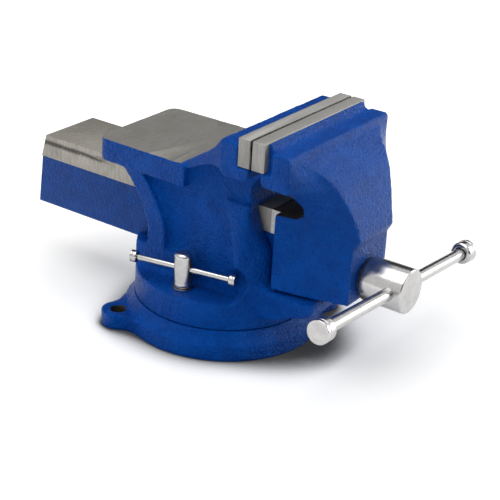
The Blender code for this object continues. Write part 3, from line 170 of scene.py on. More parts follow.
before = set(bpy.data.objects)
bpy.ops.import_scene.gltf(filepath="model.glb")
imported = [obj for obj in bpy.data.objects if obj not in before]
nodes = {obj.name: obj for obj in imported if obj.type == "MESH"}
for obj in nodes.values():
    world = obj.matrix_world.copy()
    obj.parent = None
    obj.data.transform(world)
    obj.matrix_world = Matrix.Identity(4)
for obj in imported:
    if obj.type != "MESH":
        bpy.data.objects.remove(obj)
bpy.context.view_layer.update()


# Meshes

def add(name, data):
    """New object in the scene."""
    thing = bpy.data.objects.new(name, data)
    bpy.context.scene.collection.objects.link(thing)
    return thing


def mesh_of(bm, name):
    """Mesh of what has been built up, which is then let go."""
    mesh = bpy.data.meshes.new(name)
    bm.to_mesh(mesh)
    bm.free()
    return mesh


def welded_copy(node):
    """Closed copy of a solid's mesh."""
    bm = bmesh.new()
    bm.from_mesh(nodes[node].data)
    bmesh.ops.remove_doubles(bm, verts=bm.verts, dist=WELD)
    return mesh_of(bm, node + "_copy")


def settle(thing):
    """Swap the mesh for what the modifiers make of it."""
    bpy.context.view_layer.update()
    graph = bpy.context.evaluated_depsgraph_get()
    mesh = bpy.data.meshes.new_from_object(thing.evaluated_get(graph))
    thing.modifiers.clear()
    thing.data = mesh


def box_mesh(low, high):
    """Block between two corners."""
    bm = bmesh.new()
    bmesh.ops.create_cube(bm, size=1.0)
    bmesh.ops.scale(bm, vec=[b - a for a, b in zip(low, high)], verts=bm.verts)
    bmesh.ops.translate(bm, vec=[(a + b) / 2 for a, b in zip(low, high)], verts=bm.verts)
    return mesh_of(bm, "box")


def carve(thing, tools, operation="DIFFERENCE", solver="MANIFOLD"):
    """Cut the meshes away from a closed piece, or keep what is inside them."""
    cutters = [add("cutter", mesh) for mesh in tools]
    for cutter in cutters:
        boolean = thing.modifiers.new("Cut", "BOOLEAN")
        boolean.operation = operation
        boolean.solver = solver
        boolean.object = cutter
    settle(thing)
    for cutter in cutters:
        bpy.data.objects.remove(cutter, do_unlink=True)


def points_of(mesh):
    points = np.empty(len(mesh.vertices) * 3)
    mesh.vertices.foreach_get("co", points)
    return points.reshape(-1, 3)


def normals_of(mesh):
    normals = np.empty(len(mesh.vertices) * 3)
    mesh.vertex_normals.foreach_get("vector", normals)
    return normals.reshape(-1, 3)


def store(mesh, points):
    mesh.vertices.foreach_set("co", points.ravel())
    mesh.update()


def soften(mesh, rounds, hollow, ridge):
    """Fill inner corners by the share hollow and round outer edges by the share ridge, round after round."""
    ends = np.empty(len(mesh.edges) * 2, dtype=np.int64)
    mesh.edges.foreach_get("vertices", ends)
    first, second = ends[0::2], ends[1::2]
    count = len(mesh.vertices)
    degree = np.bincount(ends, minlength=count)
    points = points_of(mesh)
    for _ in range(rounds):
        mean = np.empty_like(points)
        for axis in range(3):
            mean[:, axis] = (np.bincount(first, points[second, axis], count)
                             + np.bincount(second, points[first, axis], count)) / degree
        shift = mean - points
        outward = (shift * normals_of(mesh)).sum(1)
        points += shift * np.where(outward > 0, hollow, ridge)[:, None]
        store(mesh, points)


def roughen(mesh, layers, share):
    """Push the skin in and out by layers of (wavelength, height), as far as share allows."""
    points = points_of(mesh)
    normals = normals_of(mesh)
    push = np.zeros(len(points))
    for wavelength, height in layers:
        push += height * np.array([noise.noise(Vector(point) / wavelength) for point in points])
    store(mesh, points + normals * (push * share)[:, None])


def shade(thing, *materials):
    """Give a piece its materials, smooth but for its sharp edges."""
    mesh = thing.data
    mesh.materials.clear()
    for material in materials:
        mesh.materials.append(material)
    mesh.shade_smooth()
    mesh.set_sharp_from_angle(angle=math.radians(CREASE_ANGLE))


def faces_of(mesh):
    """Centres and normals of the faces."""
    centres = np.empty(len(mesh.polygons) * 3)
    normals = np.empty(len(mesh.polygons) * 3)
    mesh.polygons.foreach_get("center", centres)
    mesh.polygons.foreach_get("normal", normals)
    return centres.reshape(-1, 3), normals.reshape(-1, 3)


def set_slots(mesh, indices):
    """Choose the material of each face."""
    mesh.polygons.foreach_set("material_index", indices.astype(np.int32))
    mesh.update()


def ramped(values, low, high):
    """0 below low, 1 above high and smooth between."""
    share = np.clip((values - low) / (high - low), 0.0, 1.0)
    return share * share * (3 - 2 * share)


def stand_in(thing, body, node):
    """Let a piece ride on a body in the place of a node."""
    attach(thing, body)
    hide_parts(node)


def soft_corners(points, radius, segments=3):
    """Profile with its corners rounded."""
    result = [points[0]]
    for before, corner, after in zip(points, points[1:], points[2:]):
        b, c, a = Vector(before), Vector(corner), Vector(after)
        reach = min(radius, 0.45 * (b - c).length, 0.45 * (a - c).length)
        start = c + (b - c).normalized() * reach
        end = c + (a - c).normalized() * reach
        for i in range(segments + 1):
            t = i / segments
            result.append(tuple((1 - t) ** 2 * start + 2 * t * (1 - t) * c + t ** 2 * end))
    result.append(points[-1])
    return result


def lathe(profile, steps=TURNED_STEPS):
    """Turned solid round the local Z axis from a profile of (radius, height)."""
    bm = bmesh.new()
    rows = []
    for radius, height in profile:
        if radius < WELD:
            rows.append([bm.verts.new((0.0, 0.0, height))] * steps)
        else:
            angles = [2 * math.pi * i / steps for i in range(steps)]
            rows.append([bm.verts.new((radius * math.cos(a), radius * math.sin(a), height)) for a in angles])
    for upper, lower in zip(rows, rows[1:]):
        for i in range(steps):
            corners = [upper[i], upper[(i + 1) % steps], lower[(i + 1) % steps], lower[i]]
            unique = [v for k, v in enumerate(corners) if v not in corners[:k]]
            if len(unique) > 2:
                bm.faces.new(unique)
    bmesh.ops.recalc_face_normals(bm, faces=bm.faces)
    return mesh_of(bm, "turned")


def aimed(place, direction):
    """Matrix that stands the local Z axis along a direction at a place."""
    return Matrix.Translation(place) @ Vector(direction).to_track_quat("Z", "Y").to_matrix().to_4x4()


def bore_tool(place, direction, radius, reach):
    """Rod that cuts a cross bore with flared mouths through a piece of radius reach."""
    mouth = 0.86 * reach
    end = 1.1 * reach
    flare = radius + 0.16 * reach
    tool = lathe([(0.0, end), (flare, end), (radius, mouth), (radius, -mouth), (flare, -end), (0.0, -end)],
                 SMALL_STEPS)
    tool.transform(aimed(place, direction))
    return tool


def turned_piece(name, profile, place, direction, material, body, node, steps=TURNED_STEPS, bores=()):
    """Turned piece in its place, with cross bores given as (place, direction, radius) in its own frame."""
    thing = add(name, lathe(profile, steps))
    thing.matrix_world = aimed(place, direction)
    if bores:
        carve(thing, [bore_tool(*bore, profile[1][0]) for bore in bores])
    shade(thing, material, DARK_STEEL_AND_SHADE)
    inside = np.zeros(len(thing.data.polygons), bool)
    for centre, way, radius in bores:
        centres, _ = faces_of(thing.data)
        offset = centres - np.array(centre)
        along = offset @ np.array(way)
        away = np.linalg.norm(offset - along[:, None] * np.array(way), axis=1)
        inside |= away < 1.02 * radius
    set_slots(thing.data, np.where(inside, 1, 0))
    stand_in(thing, body, node)


# Materials

# Places of the colour sockets among those of the mix node
MIX_FACTOR = 0
MIX_FIRST = 6
MIX_SECOND = 7
MIX_RESULT = 2


class Graph:
    """A node material, built from the shader backwards."""

    def __init__(self, name, colour, roughness, metallic=0.0):
        self.material = bpy.data.materials.new(name)
        self.material.use_nodes = True
        self.tree = self.material.node_tree
        self.shader = self.tree.nodes["Principled BSDF"]
        self.set(self.shader, {"Base Color": colour, "Roughness": roughness, "Metallic": metallic})

    def set(self, node, inputs):
        """Link the sockets among the inputs and write the plain values."""
        for key, value in inputs.items():
            if isinstance(value, bpy.types.NodeSocket):
                self.tree.links.new(value, node.inputs[key])
            else:
                node.inputs[key].default_value = value

    def add(self, kind, inputs=None, **settings):
        node = self.tree.nodes.new(kind)
        for key, value in settings.items():
            setattr(node, key, value)
        self.set(node, inputs or {})
        return node

    def place(self, stretch=(1.0, 1.0, 1.0)):
        """Position on the object, stretched along its axes."""
        coordinates = self.add("ShaderNodeTexCoord").outputs["Object"]
        return self.add("ShaderNodeMapping", {"Vector": coordinates, "Scale": stretch}).outputs[0]

    def noise(self, scale, detail=2.0, roughness=0.5, vector=None):
        vector = vector or self.place()
        return self.add("ShaderNodeTexNoise", {"Vector": vector, "Scale": scale, "Detail": detail,
                                               "Roughness": roughness}).outputs[0]

    def cells(self, scale):
        return self.add("ShaderNodeTexVoronoi", {"Vector": self.place(), "Scale": scale},
                        feature="SMOOTH_F1").outputs["Distance"]

    def pointed(self):
        """Above one half on outer edges and below it in inner corners."""
        return self.add("ShaderNodeNewGeometry").outputs["Pointiness"]

    def math(self, operation, a, b=0.5):
        return self.add("ShaderNodeMath", {0: a, 1: b}, operation=operation).outputs[0]

    def blend(self, first, share, second, other):
        """Two values added, each times its share."""
        return self.math("ADD", self.math("MULTIPLY", first, share), self.math("MULTIPLY", second, other))

    def ramp(self, value, low, high, start=0.0, end=1.0):
        """Share of the way from low to high, given between start and end."""
        return self.add("ShaderNodeMapRange", {"Value": value, "From Min": low, "From Max": high,
                                               "To Min": start, "To Max": end}).outputs[0]

    def mix(self, share, first, second):
        """Colour that goes from the first to the second."""
        sockets = {MIX_FACTOR: share, MIX_FIRST: first, MIX_SECOND: second}
        return self.add("ShaderNodeMix", sockets, data_type="RGBA").outputs[MIX_RESULT]

    def bump(self, height, distance, strength=1.0, under=None):
        inputs = {"Height": height, "Distance": distance, "Strength": strength}
        if under:
            inputs["Normal"] = under
        return self.add("ShaderNodeBump", inputs).outputs[0]

    def finish(self, **inputs):
        self.set(self.shader, {key.replace("_", " "): value for key, value in inputs.items()})
        return self.material


def paint_material(name, deep, light, edge, shine, relief=1.0):
    """Gloss enamel over a cast skin: dimples, shallow waves and slight patches of tone, with outer edges
    turned paler in patches as a painted highlight.
    """
    graph = Graph(name, deep, shine)
    patches = graph.noise(70.0, 3.0, 0.6)
    grains = graph.noise(1150.0, 2.0, 0.6)
    colour = graph.mix(graph.ramp(graph.blend(patches, 0.5, grains, 0.5), 0.36, 0.64), deep, light)
    # Outer edges, found by pointiness, take the paler edge colour in patches: a painted highlight.
    painted_edge_highlight = graph.math("MULTIPLY", graph.ramp(graph.pointed(), 0.525, 0.60),
                      graph.ramp(patches, 0.35, 0.6, 0.3, 0.8))
    colour = graph.mix(painted_edge_highlight, colour, edge)
    skin = graph.bump(graph.noise(560.0, 3.0, 0.65), 0.0019 * relief, 1.0)
    skin = graph.bump(graph.cells(430.0), 0.0009 * relief, 0.60, skin)
    gloss = graph.ramp(graph.noise(420.0, 2.0), 0.3, 0.7, shine - 0.08, shine + 0.12)
    return graph.finish(Base_Color=colour, Roughness=gloss, Normal=skin, Specular_IOR_Level=0.3,
                        Specular_Tint=(0.1, 0.45, 1.0, 1.0))


def ground_material(name, dark, light, stretch, shine, stain=None, metallic=0.85):
    """Ground or milled steel: fine scratches along one axis, grains and clouds, with a stain where asked."""
    graph = Graph(name, light, shine, metallic)
    lines = graph.noise(1400.0, 2.0, 0.7, graph.place(stretch))
    grains = graph.noise(1700.0, 2.0, 0.6)
    clouds = graph.noise(38.0, 4.0, 0.6)
    tone = graph.blend(lines, 0.45, clouds, 0.35)
    tone = graph.math("ADD", tone, graph.math("MULTIPLY", grains, 0.20))
    colour = graph.mix(graph.ramp(tone, 0.34, 0.66), dark, light)
    if stain:
        colour = graph.mix(stain(graph), colour, (0.035, 0.030, 0.026, 1.0))
    gloss = graph.ramp(tone, 0.3, 0.7, shine + 0.10, shine - 0.04)
    skin = graph.bump(lines, 0.00014, 0.5)
    skin = graph.bump(grains, 0.00012, 0.4, skin)
    return graph.finish(Base_Color=colour, Roughness=gloss, Normal=skin)


def oil_stain(graph):
    """Share of dark oil along the upper half of the beam's sides, broken up along its length."""
    place = graph.add("ShaderNodeSeparateXYZ", {"Vector": graph.place()}).outputs
    band = graph.ramp(graph.math("ABSOLUTE", graph.math("SUBTRACT", place[2], 0.1045)), 0.0028, 0.0008)
    side = graph.ramp(graph.math("ABSOLUTE", place[0]), 0.0262, 0.0266)
    length = graph.ramp(place[1], 0.085, 0.100)
    broken = graph.ramp(graph.noise(160.0, 4.0, 0.7, graph.place((1.0, 0.35, 2.0))), 0.38, 0.52)
    share = graph.math("MULTIPLY", graph.math("MULTIPLY", band, side), graph.math("MULTIPLY", length, broken))
    return graph.math("MULTIPLY", share, 0.85)


def chrome_material(name, dark, light, shine):
    """Plated turned steel: faint rings left by the lathe, soft haze and small marks."""
    graph = Graph(name, light, shine, 1.0)
    rings = graph.noise(2600.0, 1.0, 0.5, graph.place((0.02, 0.02, 1.0)))
    haze = graph.noise(160.0, 3.0, 0.6)
    colour = graph.mix(graph.ramp(haze, 0.3, 0.7), dark, light)
    gloss = graph.ramp(graph.blend(haze, 0.6, rings, 0.4), 0.3, 0.7, shine - 0.03, shine + 0.03)
    skin = graph.bump(rings, 0.00006, 0.20)
    skin = graph.bump(graph.noise(300.0, 2.0), 0.0002, 0.05, skin)
    return graph.finish(Base_Color=colour, Roughness=gloss, Normal=skin)


def rough_material(name, dark, light, shine, metallic):
    """Unpainted iron or oiled steel inside holes and on fasteners; the same near-black materials also stand
    as painted shade in the throat, the jaw's pocket and the plates' grooves.
    """
    graph = Graph(name, dark, shine, metallic)
    patches = graph.noise(230.0, 4.0, 0.65)
    colour = graph.mix(graph.ramp(patches, 0.35, 0.65), dark, light)
    skin = graph.bump(graph.noise(700.0, 3.0, 0.6), 0.0004, 0.5)
    gloss = graph.ramp(patches, 0.3, 0.7, shine - 0.08, shine + 0.12)
    return graph.finish(Base_Color=colour, Roughness=gloss, Normal=skin)


# The third colour of each enamel is the paler colour of its painted edge highlight.
PAINT = paint_material("blue_enamel", (0.0, 0.033, 0.218, 1.0), (0.0, 0.062, 0.352, 1.0),
                       (0.003, 0.095, 0.44, 1.0), 0.32)
BEAM_PAINT = paint_material("blue_enamel_thin", (0.0, 0.024, 0.16, 1.0), (0.0, 0.046, 0.27, 1.0),
                            (0.002, 0.075, 0.36, 1.0), 0.36, 0.4)
ANVIL_STEEL = ground_material("anvil_steel", (0.18, 0.173, 0.158, 1.0), (0.32, 0.31, 0.29, 1.0),
                              (0.08, 1.0, 1.0), 0.54)
BEAM_STEEL = ground_material("beam_steel", (0.19, 0.18, 0.155, 1.0), (0.44, 0.42, 0.38, 1.0),
                             (1.0, 1.0, 0.08), 0.50, oil_stain)
PLATE_STEEL = ground_material("plate_steel", (0.215, 0.21, 0.20, 1.0), (0.39, 0.385, 0.37, 1.0),
                              (1.0, 1.0, 0.06), 0.56, metallic=0.6)
# A paler copy of the beam's steel: painted light on the beam's side strip near the jaw.
LIT_STRIP_STEEL = ground_material("strip_steel_painted_light", (0.42, 0.41, 0.39, 1.0), (0.78, 0.77, 0.75, 1.0),
                            (1.0, 1.0, 0.3), 0.55, metallic=0.25)
CHROME = chrome_material("chrome_plate", (0.41, 0.403, 0.399, 1.0), (0.505, 0.498, 0.494, 1.0), 0.215)
THREAD_STEEL = ground_material("thread_steel", (0.16, 0.15, 0.13, 1.0), (0.38, 0.36, 0.33, 1.0),
                               (1.0, 1.0, 0.3), 0.36)
# These two are the thing's own dark iron and steel, and also painted shade where they fill shaded crevices.
DARK_STEEL_AND_SHADE = rough_material("dark_steel_oiled_and_shade", (0.035, 0.034, 0.033, 1.0), (0.10, 0.098, 0.094, 1.0),
                            0.42, 0.9)
RAW_IRON_AND_SHADE = rough_material("raw_iron_and_shade", (0.012, 0.011, 0.010, 1.0), (0.045, 0.036, 0.030, 1.0), 0.68, 0.2)


# Castings

def cast_copy(name, mesh):
    """Piece with one even skin, ready to be softened."""
    thing = add(name, mesh)
    remesh = thing.modifiers.new("Skin", "REMESH")
    remesh.mode = "VOXEL"
    remesh.voxel_size = VOXEL
    settle(thing)
    return thing


def make_base():
    """Swivel base with a soft rim and lugs."""
    base = cast_copy("base_casting", welded_copy("swivel_base"))
    points = points_of(base.data)
    outer = ramped(np.hypot(points[:, 0], points[:, 1]), *BASE_SOFT_RADII)
    soften(base.data, 8, 0.45 * outer, 0.06 * outer)
    points = points_of(base.data)
    rise = np.clip((points[:, 2] - BASE_RIM_HEIGHT) / (DRUM_BOTTOM - BASE_RIM_HEIGHT), 0.0, 1.0)
    reach = np.hypot(points[:, 0], points[:, 1])
    slope = rise * (1 - rise) * ramped(reach, *BASE_SLOPE_RADII)
    points[:, :2] *= (1 - BASE_HOLLOW * slope / reach)[:, None]
    store(base.data, points)
    outer = ramped(np.hypot(points[:, 0], points[:, 1]), *BASE_SKIN_RADII)
    roughen(base.data, BASE_SKIN, outer * ramped(points[:, 2], *BASE_SKIN_LEVELS))
    carve(base, [box_mesh((-FAR, -FAR, -OVERRUN), (FAR, FAR, 0.0))])
    shade(base, PAINT, RAW_IRON_AND_SHADE)
    centres, normals = faces_of(base.data)
    bare = normals[:, 2] < -0.9
    for x, y in LUG_HOLES:
        bare |= np.hypot(centres[:, 0] - x, centres[:, 1] - y) < LUG_HOLE_RADIUS + SPARE
    set_slots(base.data, np.where(bare, 1, 0))
    stand_in(base, "base", "swivel_base")


def body_softness(points):
    """1 on the front ribs and the tower's root, less on the rear ribs and the rim, little elsewhere."""
    x, y, z = points.T
    ribs = ramped(z, SHOULDER - 0.002, SHOULDER + 0.006) * (1 - ramped(z, *SOFT_RIB_TOP))
    front = 1 - ramped(y, *SOFT_FRONT)
    throat = (1 - ramped(y, *SOFT_THROAT_DEPTHS)) * (1 - ramped(z, *SOFT_THROAT_TOP))
    throat *= ramped(z, SHOULDER, SHOULDER + 0.010)
    rim = ramped(np.hypot(x, y), *SOFT_RIM_RADII) * ramped(z, SHOULDER - 0.008, SHOULDER - 0.004)
    rim *= z < SHOULDER + 0.002
    return np.clip(np.maximum.reduce([ribs * (0.08 + 0.92 * front), 0.15 * throat, 0.45 * rim]), 0.0, 1.0)


def shape_tower(points):
    """Set the tower's front back at the height of the throat and swell the front ribs."""
    x, y, z = points.T
    back = ramped(z, *SETBACK_START) * (1 - ramped(z, *SETBACK_END))
    y += TOWER_SETBACK * back * ramped(-y, *SETBACK_DEPTHS)
    rise = np.clip((z - SHOULDER) / (ANVIL_BOTTOM - SHOULDER), 0.0, 1.0)
    flank = RIB_FLANK + RIB_LEAN * rise
    across = np.clip((flank - y) / (flank + TOWER_FRONT - TOWER_LEAN * rise), 0.0, 1.0)
    swell = np.sqrt(1 - (2 * across - 1) ** 2) * ramped(z, *SWELL_START) * (1 - ramped(z, *SWELL_END))
    x += RIB_SWELL * swell * ramped(np.abs(x), *FLANK_WIDTHS) * np.sign(x)


def clear_levers(mesh):
    """Shallow dents in the front ribs, where the caps of the clamping bars come closest."""
    points = points_of(mesh)
    turn = math.radians(LOCK_BAR_TURN + LOCK_BITE)
    reach = LOCK_BAR_HALF_LENGTH + LOCK_CAP_WALL
    tip = LOCK_REACH - reach * math.sin(turn) - LOCK_CAP_RADIUS * math.cos(turn)
    along = points[:, 1] + (reach - LOCK_CAP_LENGTH / 2) * math.cos(turn)
    limit = tip - LEVER_ROOM + along * math.tan(turn)
    limit += (along ** 2 + (points[:, 2] - LOCK_BAR_HEIGHT) ** 2) / (2 * DENT_RADIUS)
    width = np.abs(points[:, 0])
    eased = 0.5 * (width + limit - np.sqrt((width - limit) ** 2 + DENT_BLEND ** 2))
    near = (np.abs(along) < 2 * DENT_RADIUS) & (width > LOCK_REACH / 2)
    near &= np.abs(points[:, 2] - LOCK_BAR_HEIGHT) < 2 * DENT_RADIUS
    points[:, 0] = np.where(near, np.sign(points[:, 0]) * np.minimum(width, eased), points[:, 0])
    store(mesh, points)


def make_body():
    """Body casting: deep fillets and soft ribs, with the slab, the channel and the seat machined."""
    mesh = welded_copy("vise_body")
    points = points_of(mesh)
    slab = (np.abs(points[:, 2] - ANVIL_TOP) < SPARE) & (points[:, 1] > SLAB_START)
    points[slab, 2] += SLAB_SPARE
    store(mesh, points)
    body = cast_copy("body_casting", mesh)
    points = points_of(body.data)
    soft = body_softness(points)
    shape_tower(points)
    hidden = (np.abs(points[:, 0]) < CHANNEL_HALF_WIDTH + 0.001) & (points[:, 2] < CHANNEL_TOP + 0.001)
    share = np.where(hidden, 0.0, soft)
    growth = RIB_GROWTH * ramped(share, 0.4, 1.0) * ramped(np.abs(points[:, 0]), *FLANK_WIDTHS)
    points[:, 0] += np.sign(points[:, 0]) * growth
    store(body.data, points)
    soften(body.data, 40, 0.5 * share, 0.45 * share)
    soften(body.data, 40, np.where(hidden, 0.1, 0.5), np.where(hidden, 0.02, 0.035 + 0.10 * soft))
    points = points_of(body.data)
    shown = ramped(np.hypot(points[:, 0], points[:, 1]), *BODY_SKIN_RADII)
    shown *= ramped(points[:, 2], DRUM_BOTTOM + 0.0004, DRUM_BOTTOM + 0.002)
    shown = np.maximum(shown, ramped(points[:, 2], ANVIL_BOTTOM - 0.002, ANVIL_BOTTOM))
    roughen(body.data, BODY_SKIN, shown)
    clear_levers(body.data)
    carve(body, [
        box_mesh((-FAR, SLOPE_FOOT, ANVIL_TOP), (FAR, FAR, ANVIL_TOP + OVERRUN)),
        box_mesh((-CHANNEL_HALF_WIDTH, -FAR, CHANNEL_FLOOR), (CHANNEL_HALF_WIDTH, FAR, CHANNEL_TOP)),
        box_mesh((-FAR, REAR_SEAT - OVERRUN, LIP_TOP), (FAR, REAR_SEAT, LIP_TOP + 2 * OVERRUN)),
        box_mesh((-FAR, -FAR, DRUM_BOTTOM - OVERRUN), (FAR, FAR, DRUM_BOTTOM)),
    ])
    shade(body, PAINT, ANVIL_STEEL, BEAM_STEEL)
    centres, normals = faces_of(body.data)
    ground = (normals[:, 2] > 0.99) & (np.abs(centres[:, 2] - ANVIL_TOP) < NEAR)
    ground &= centres[:, 1] > SLOPE_FOOT
    channel = (np.abs(centres[:, 0]) < CHANNEL_HALF_WIDTH + NEAR) & (centres[:, 2] < CHANNEL_TOP + NEAR)
    channel &= centres[:, 2] > CHANNEL_FLOOR - NEAR
    set_slots(body.data, np.where(ground, 1, np.where(channel, 2, 0)))
    stand_in(body, "body", "vise_body")


def make_jaw():
    """Front jaw casting, without the beam behind it."""
    copy = add("jaw_copy", welded_copy("sliding_jaw"))
    carve(copy, [box_mesh((-FAR, JAW_BACK - SPARE, 0.0), (FAR, FAR, FAR))], solver="EXACT")
    mesh = copy.data.copy()
    bpy.data.objects.remove(copy, do_unlink=True)
    jaw = cast_copy("jaw_casting", mesh)
    points = points_of(jaw.data)
    crest = ramped(points[:, 2], FRONT_JAW_TOP - 0.001, FRONT_JAW_TOP + 0.0005)
    flank = (1 - ramped(points[:, 2], LIP_TOP - 0.010, LIP_TOP)) * ramped(points[:, 2], *JAW_SOFT_LEVELS)
    flank *= 1 - ramped(points[:, 1], *JAW_SOFT_DEPTHS)
    soften(jaw.data, 34, 0.5 * (1 - 0.8 * crest), (0.045 + 0.20 * flank) * (1 - 0.85 * crest))
    points = points_of(jaw.data)
    shown = (1 - crest) * (1 - ramped(points[:, 1], JAW_BACK - 0.0016, JAW_BACK - 0.0008))
    roughen(jaw.data, JAW_SKIN, shown)
    carve(jaw, [box_mesh((-FAR, FRONT_SEAT, LIP_TOP), (FAR, FRONT_SEAT + OVERRUN, LIP_TOP + 2 * OVERRUN))])
    shade(jaw, PAINT, RAW_IRON_AND_SHADE)
    centres, normals = faces_of(jaw.data)
    # Faces inside the pocket under the jaw's head take the near-black iron: unpainted iron there, darkened
    # further as painted shade.
    pocket = (centres[:, 1] > POCKET_FRONT) & (np.abs(normals[:, 0]) < 0.6)
    pocket &= (centres[:, 2] > POCKET_BOTTOM) & (centres[:, 2] < POCKET_TOP)
    set_slots(jaw.data, np.where(pocket, 1, 0))
    stand_in(jaw, "jaw", "sliding_jaw")


def make_beam():
    """Machined beam as its own crisp piece: painted sides, ground top and strips, raw inside; near the jaw
    its top is painted near-black as shade and its side strips are painted paler as light.
    """
    beam = add("jaw_beam", welded_copy("sliding_jaw"))
    half = BEAM_HALF_WIDTH + 0.0001
    kept = box_mesh((-half, JAW_BACK - 0.003, BEAM_FOOT), (half, FAR, BEAM_TOP + 0.0001))
    carve(beam, [kept], "INTERSECT", "EXACT")
    bevel = beam.modifiers.new("Edges", "BEVEL")
    bevel.width = BEVEL_WIDTH
    bevel.segments = 2
    bevel.limit_method = "ANGLE"
    bevel.angle_limit = math.radians(BEVEL_ANGLE)
    settle(beam)
    bm = bmesh.new()
    bm.from_mesh(beam.data)
    bmesh.ops.bisect_plane(bm, geom=bm.verts[:] + bm.edges[:] + bm.faces[:], dist=WELD,
                           plane_co=(0.0, PAINTED_THROAT_START, 0.0), plane_no=(0.0, 1.0, 0.0))
    bm.to_mesh(beam.data)
    bm.free()
    shade(beam, BEAM_PAINT, BEAM_STEEL, RAW_IRON_AND_SHADE, LIT_STRIP_STEEL)
    centres, normals = faces_of(beam.data)
    inside = (np.abs(centres[:, 0]) < BEAM_HOLLOW_HALF_WIDTH) & (centres[:, 2] < BEAM_TOP - BEAM_ROOF)
    inside &= centres[:, 1] < BEAM_MOUTH
    steel = centres[:, 2] > BEAM_STRIP_BOTTOM - SPARE
    near_jaw = centres[:, 1] < PAINTED_THROAT_START
    # Near the jaw the beam's top, in the throat, is painted near-black as shade, and its side strip is
    # painted paler as light.
    painted_throat_shade = (normals[:, 2] > 0.9) & near_jaw
    pad = steel & (np.abs(normals[:, 0]) > 0.6) & near_jaw
    set_slots(beam.data, np.where(inside | painted_throat_shade, 2, np.where(pad, 3, np.where(steel, 1, 0))))
    stand_in(beam, "jaw", "sliding_jaw")


def groove_mesh(face, inward):
    """Row of upright wedges that cut the serrations of one plate."""
    bm = bmesh.new()
    deep = face + inward * GROOVE_DEPTH
    clear = face - inward * GROOVE_CLEARANCE
    half = GROOVE_HALF_WIDTH
    count = int(2 * PLATE_HALF_WIDTH / GROOVE_PITCH) - 1
    for k in range(count):
        x = (k - (count - 1) / 2) * GROOVE_PITCH
        ends = [[bm.verts.new((x + dx, y, z)) for dx, y in ((-half, clear), (half, clear), (0.0, deep))]
                for z in (LIP_TOP - OVERRUN, LIP_TOP + 2 * OVERRUN)]
        bm.faces.new(ends[0])
        bm.faces.new(ends[1])
        for i in range(3):
            j = (i + 1) % 3
            bm.faces.new((ends[0][i], ends[0][j], ends[1][j], ends[1][i]))
    bmesh.ops.recalc_face_normals(bm, faces=bm.faces)
    return mesh_of(bm, "grooves")


def make_plates():
    """Hardened plates with serrated working faces, which are painted dark as shade in the narrow gap between
    the jaws.
    """
    for node, body, face, inward in (("rear_jaw_plate", "body", REAR_PLATE_FACE, 1),
                                     ("front_jaw_plate", "jaw", FRONT_PLATE_FACE, -1)):
        plate = add(node.replace("jaw_", "") + "_ground", welded_copy(node))
        carve(plate, [groove_mesh(face, inward)])
        shade(plate, PLATE_STEEL, DARK_STEEL_AND_SHADE)
        centres, normals = faces_of(plate.data)
        # The serrated faces, which face the other plate across a narrow gap, are painted dark as shade.
        painted_gap_shade = (np.abs(centres[:, 1] - face) < 2 * GROOVE_DEPTH) & (np.abs(normals[:, 1]) > 0.3)
        set_slots(plate.data, np.where(painted_gap_shade, 1, 0))
        stand_in(plate, body, node)


# Turned pieces

def make_screw():
    """Screw head with its cross bore, journal and a wound thread."""
    axis = (0.0, -1.0, 0.0)
    place = (0.0, 0.0, SCREW_AXIS)
    head = soft_corners([(0.0, -HEAD_FRONT), (HEAD_RADIUS, -HEAD_FRONT), (HEAD_RADIUS, -HEAD_BACK),
                         (0.0, -HEAD_BACK)], 0.0016)
    inward = aimed(place, axis).inverted()
    centre = inward @ Vector((0.0, HEAD_FRONT + HANDLE_INSET, SCREW_AXIS))
    turned_piece("screw_head", head, place, axis, CHROME, "screw", "spindle",
                 bores=((centre, inward.to_3x3() @ handle_way(), HANDLE_RADIUS + HANDLE_PLAY),))
    journal = soft_corners([(0.0, -HEAD_BACK + 0.0005), (JOURNAL_RADIUS, -HEAD_BACK + 0.0005),
                            (JOURNAL_RADIUS, -COLLAR_BACK - 0.010), (THREAD_ROOT, -COLLAR_BACK - 0.012),
                            (THREAD_ROOT, -THREAD_BACK + 0.001), (THREAD_ROOT - 0.001, -THREAD_BACK),
                            (0.0, -THREAD_BACK)], 0.0004)
    turned_piece("screw_shank", journal, place, axis, THREAD_STEEL, "screw", "spindle")
    thread = add("screw_thread", thread_mesh(-COLLAR_BACK - 0.0115, -THREAD_BACK + 0.001))
    thread.matrix_world = aimed(place, axis)
    shade(thread, THREAD_STEEL)
    stand_in(thread, "screw", "spindle")


def thread_mesh(top, bottom):
    """Right-handed trapezoidal ridge wound round the local Z axis, faded out at both ends."""
    section = ((-0.42, -0.0004), (-0.30, 0.0), (-0.12, 1.0), (0.12, 1.0), (0.30, 0.0), (0.42, -0.0004))
    steps = THREAD_STEPS
    count = int((top - bottom) / THREAD_PITCH * steps)
    bm = bmesh.new()
    rows = []
    for i in range(count + 1):
        angle = 2 * math.pi * i / steps
        middle = bottom + THREAD_PITCH * i / steps
        rise = min(1.0, i / steps, (count - i) / steps)
        row = []
        for along, level in section:
            radius = THREAD_ROOT + (level if level < 0 else (THREAD_CREST - THREAD_ROOT) * level * rise)
            height = min(max(middle + along * THREAD_PITCH, bottom), top)
            row.append(bm.verts.new((radius * math.cos(angle), radius * math.sin(angle), height)))
        rows.append(row)
    for lower, upper in zip(rows, rows[1:]):
        for j in range(len(section)):
            k = (j + 1) % len(section)
            bm.faces.new((lower[j], lower[k], upper[k], upper[j]))
    bm.faces.new(rows[0])
    bm.faces.new(rows[-1])
    bmesh.ops.recalc_face_normals(bm, faces=bm.faces)
    return mesh_of(bm, "thread")


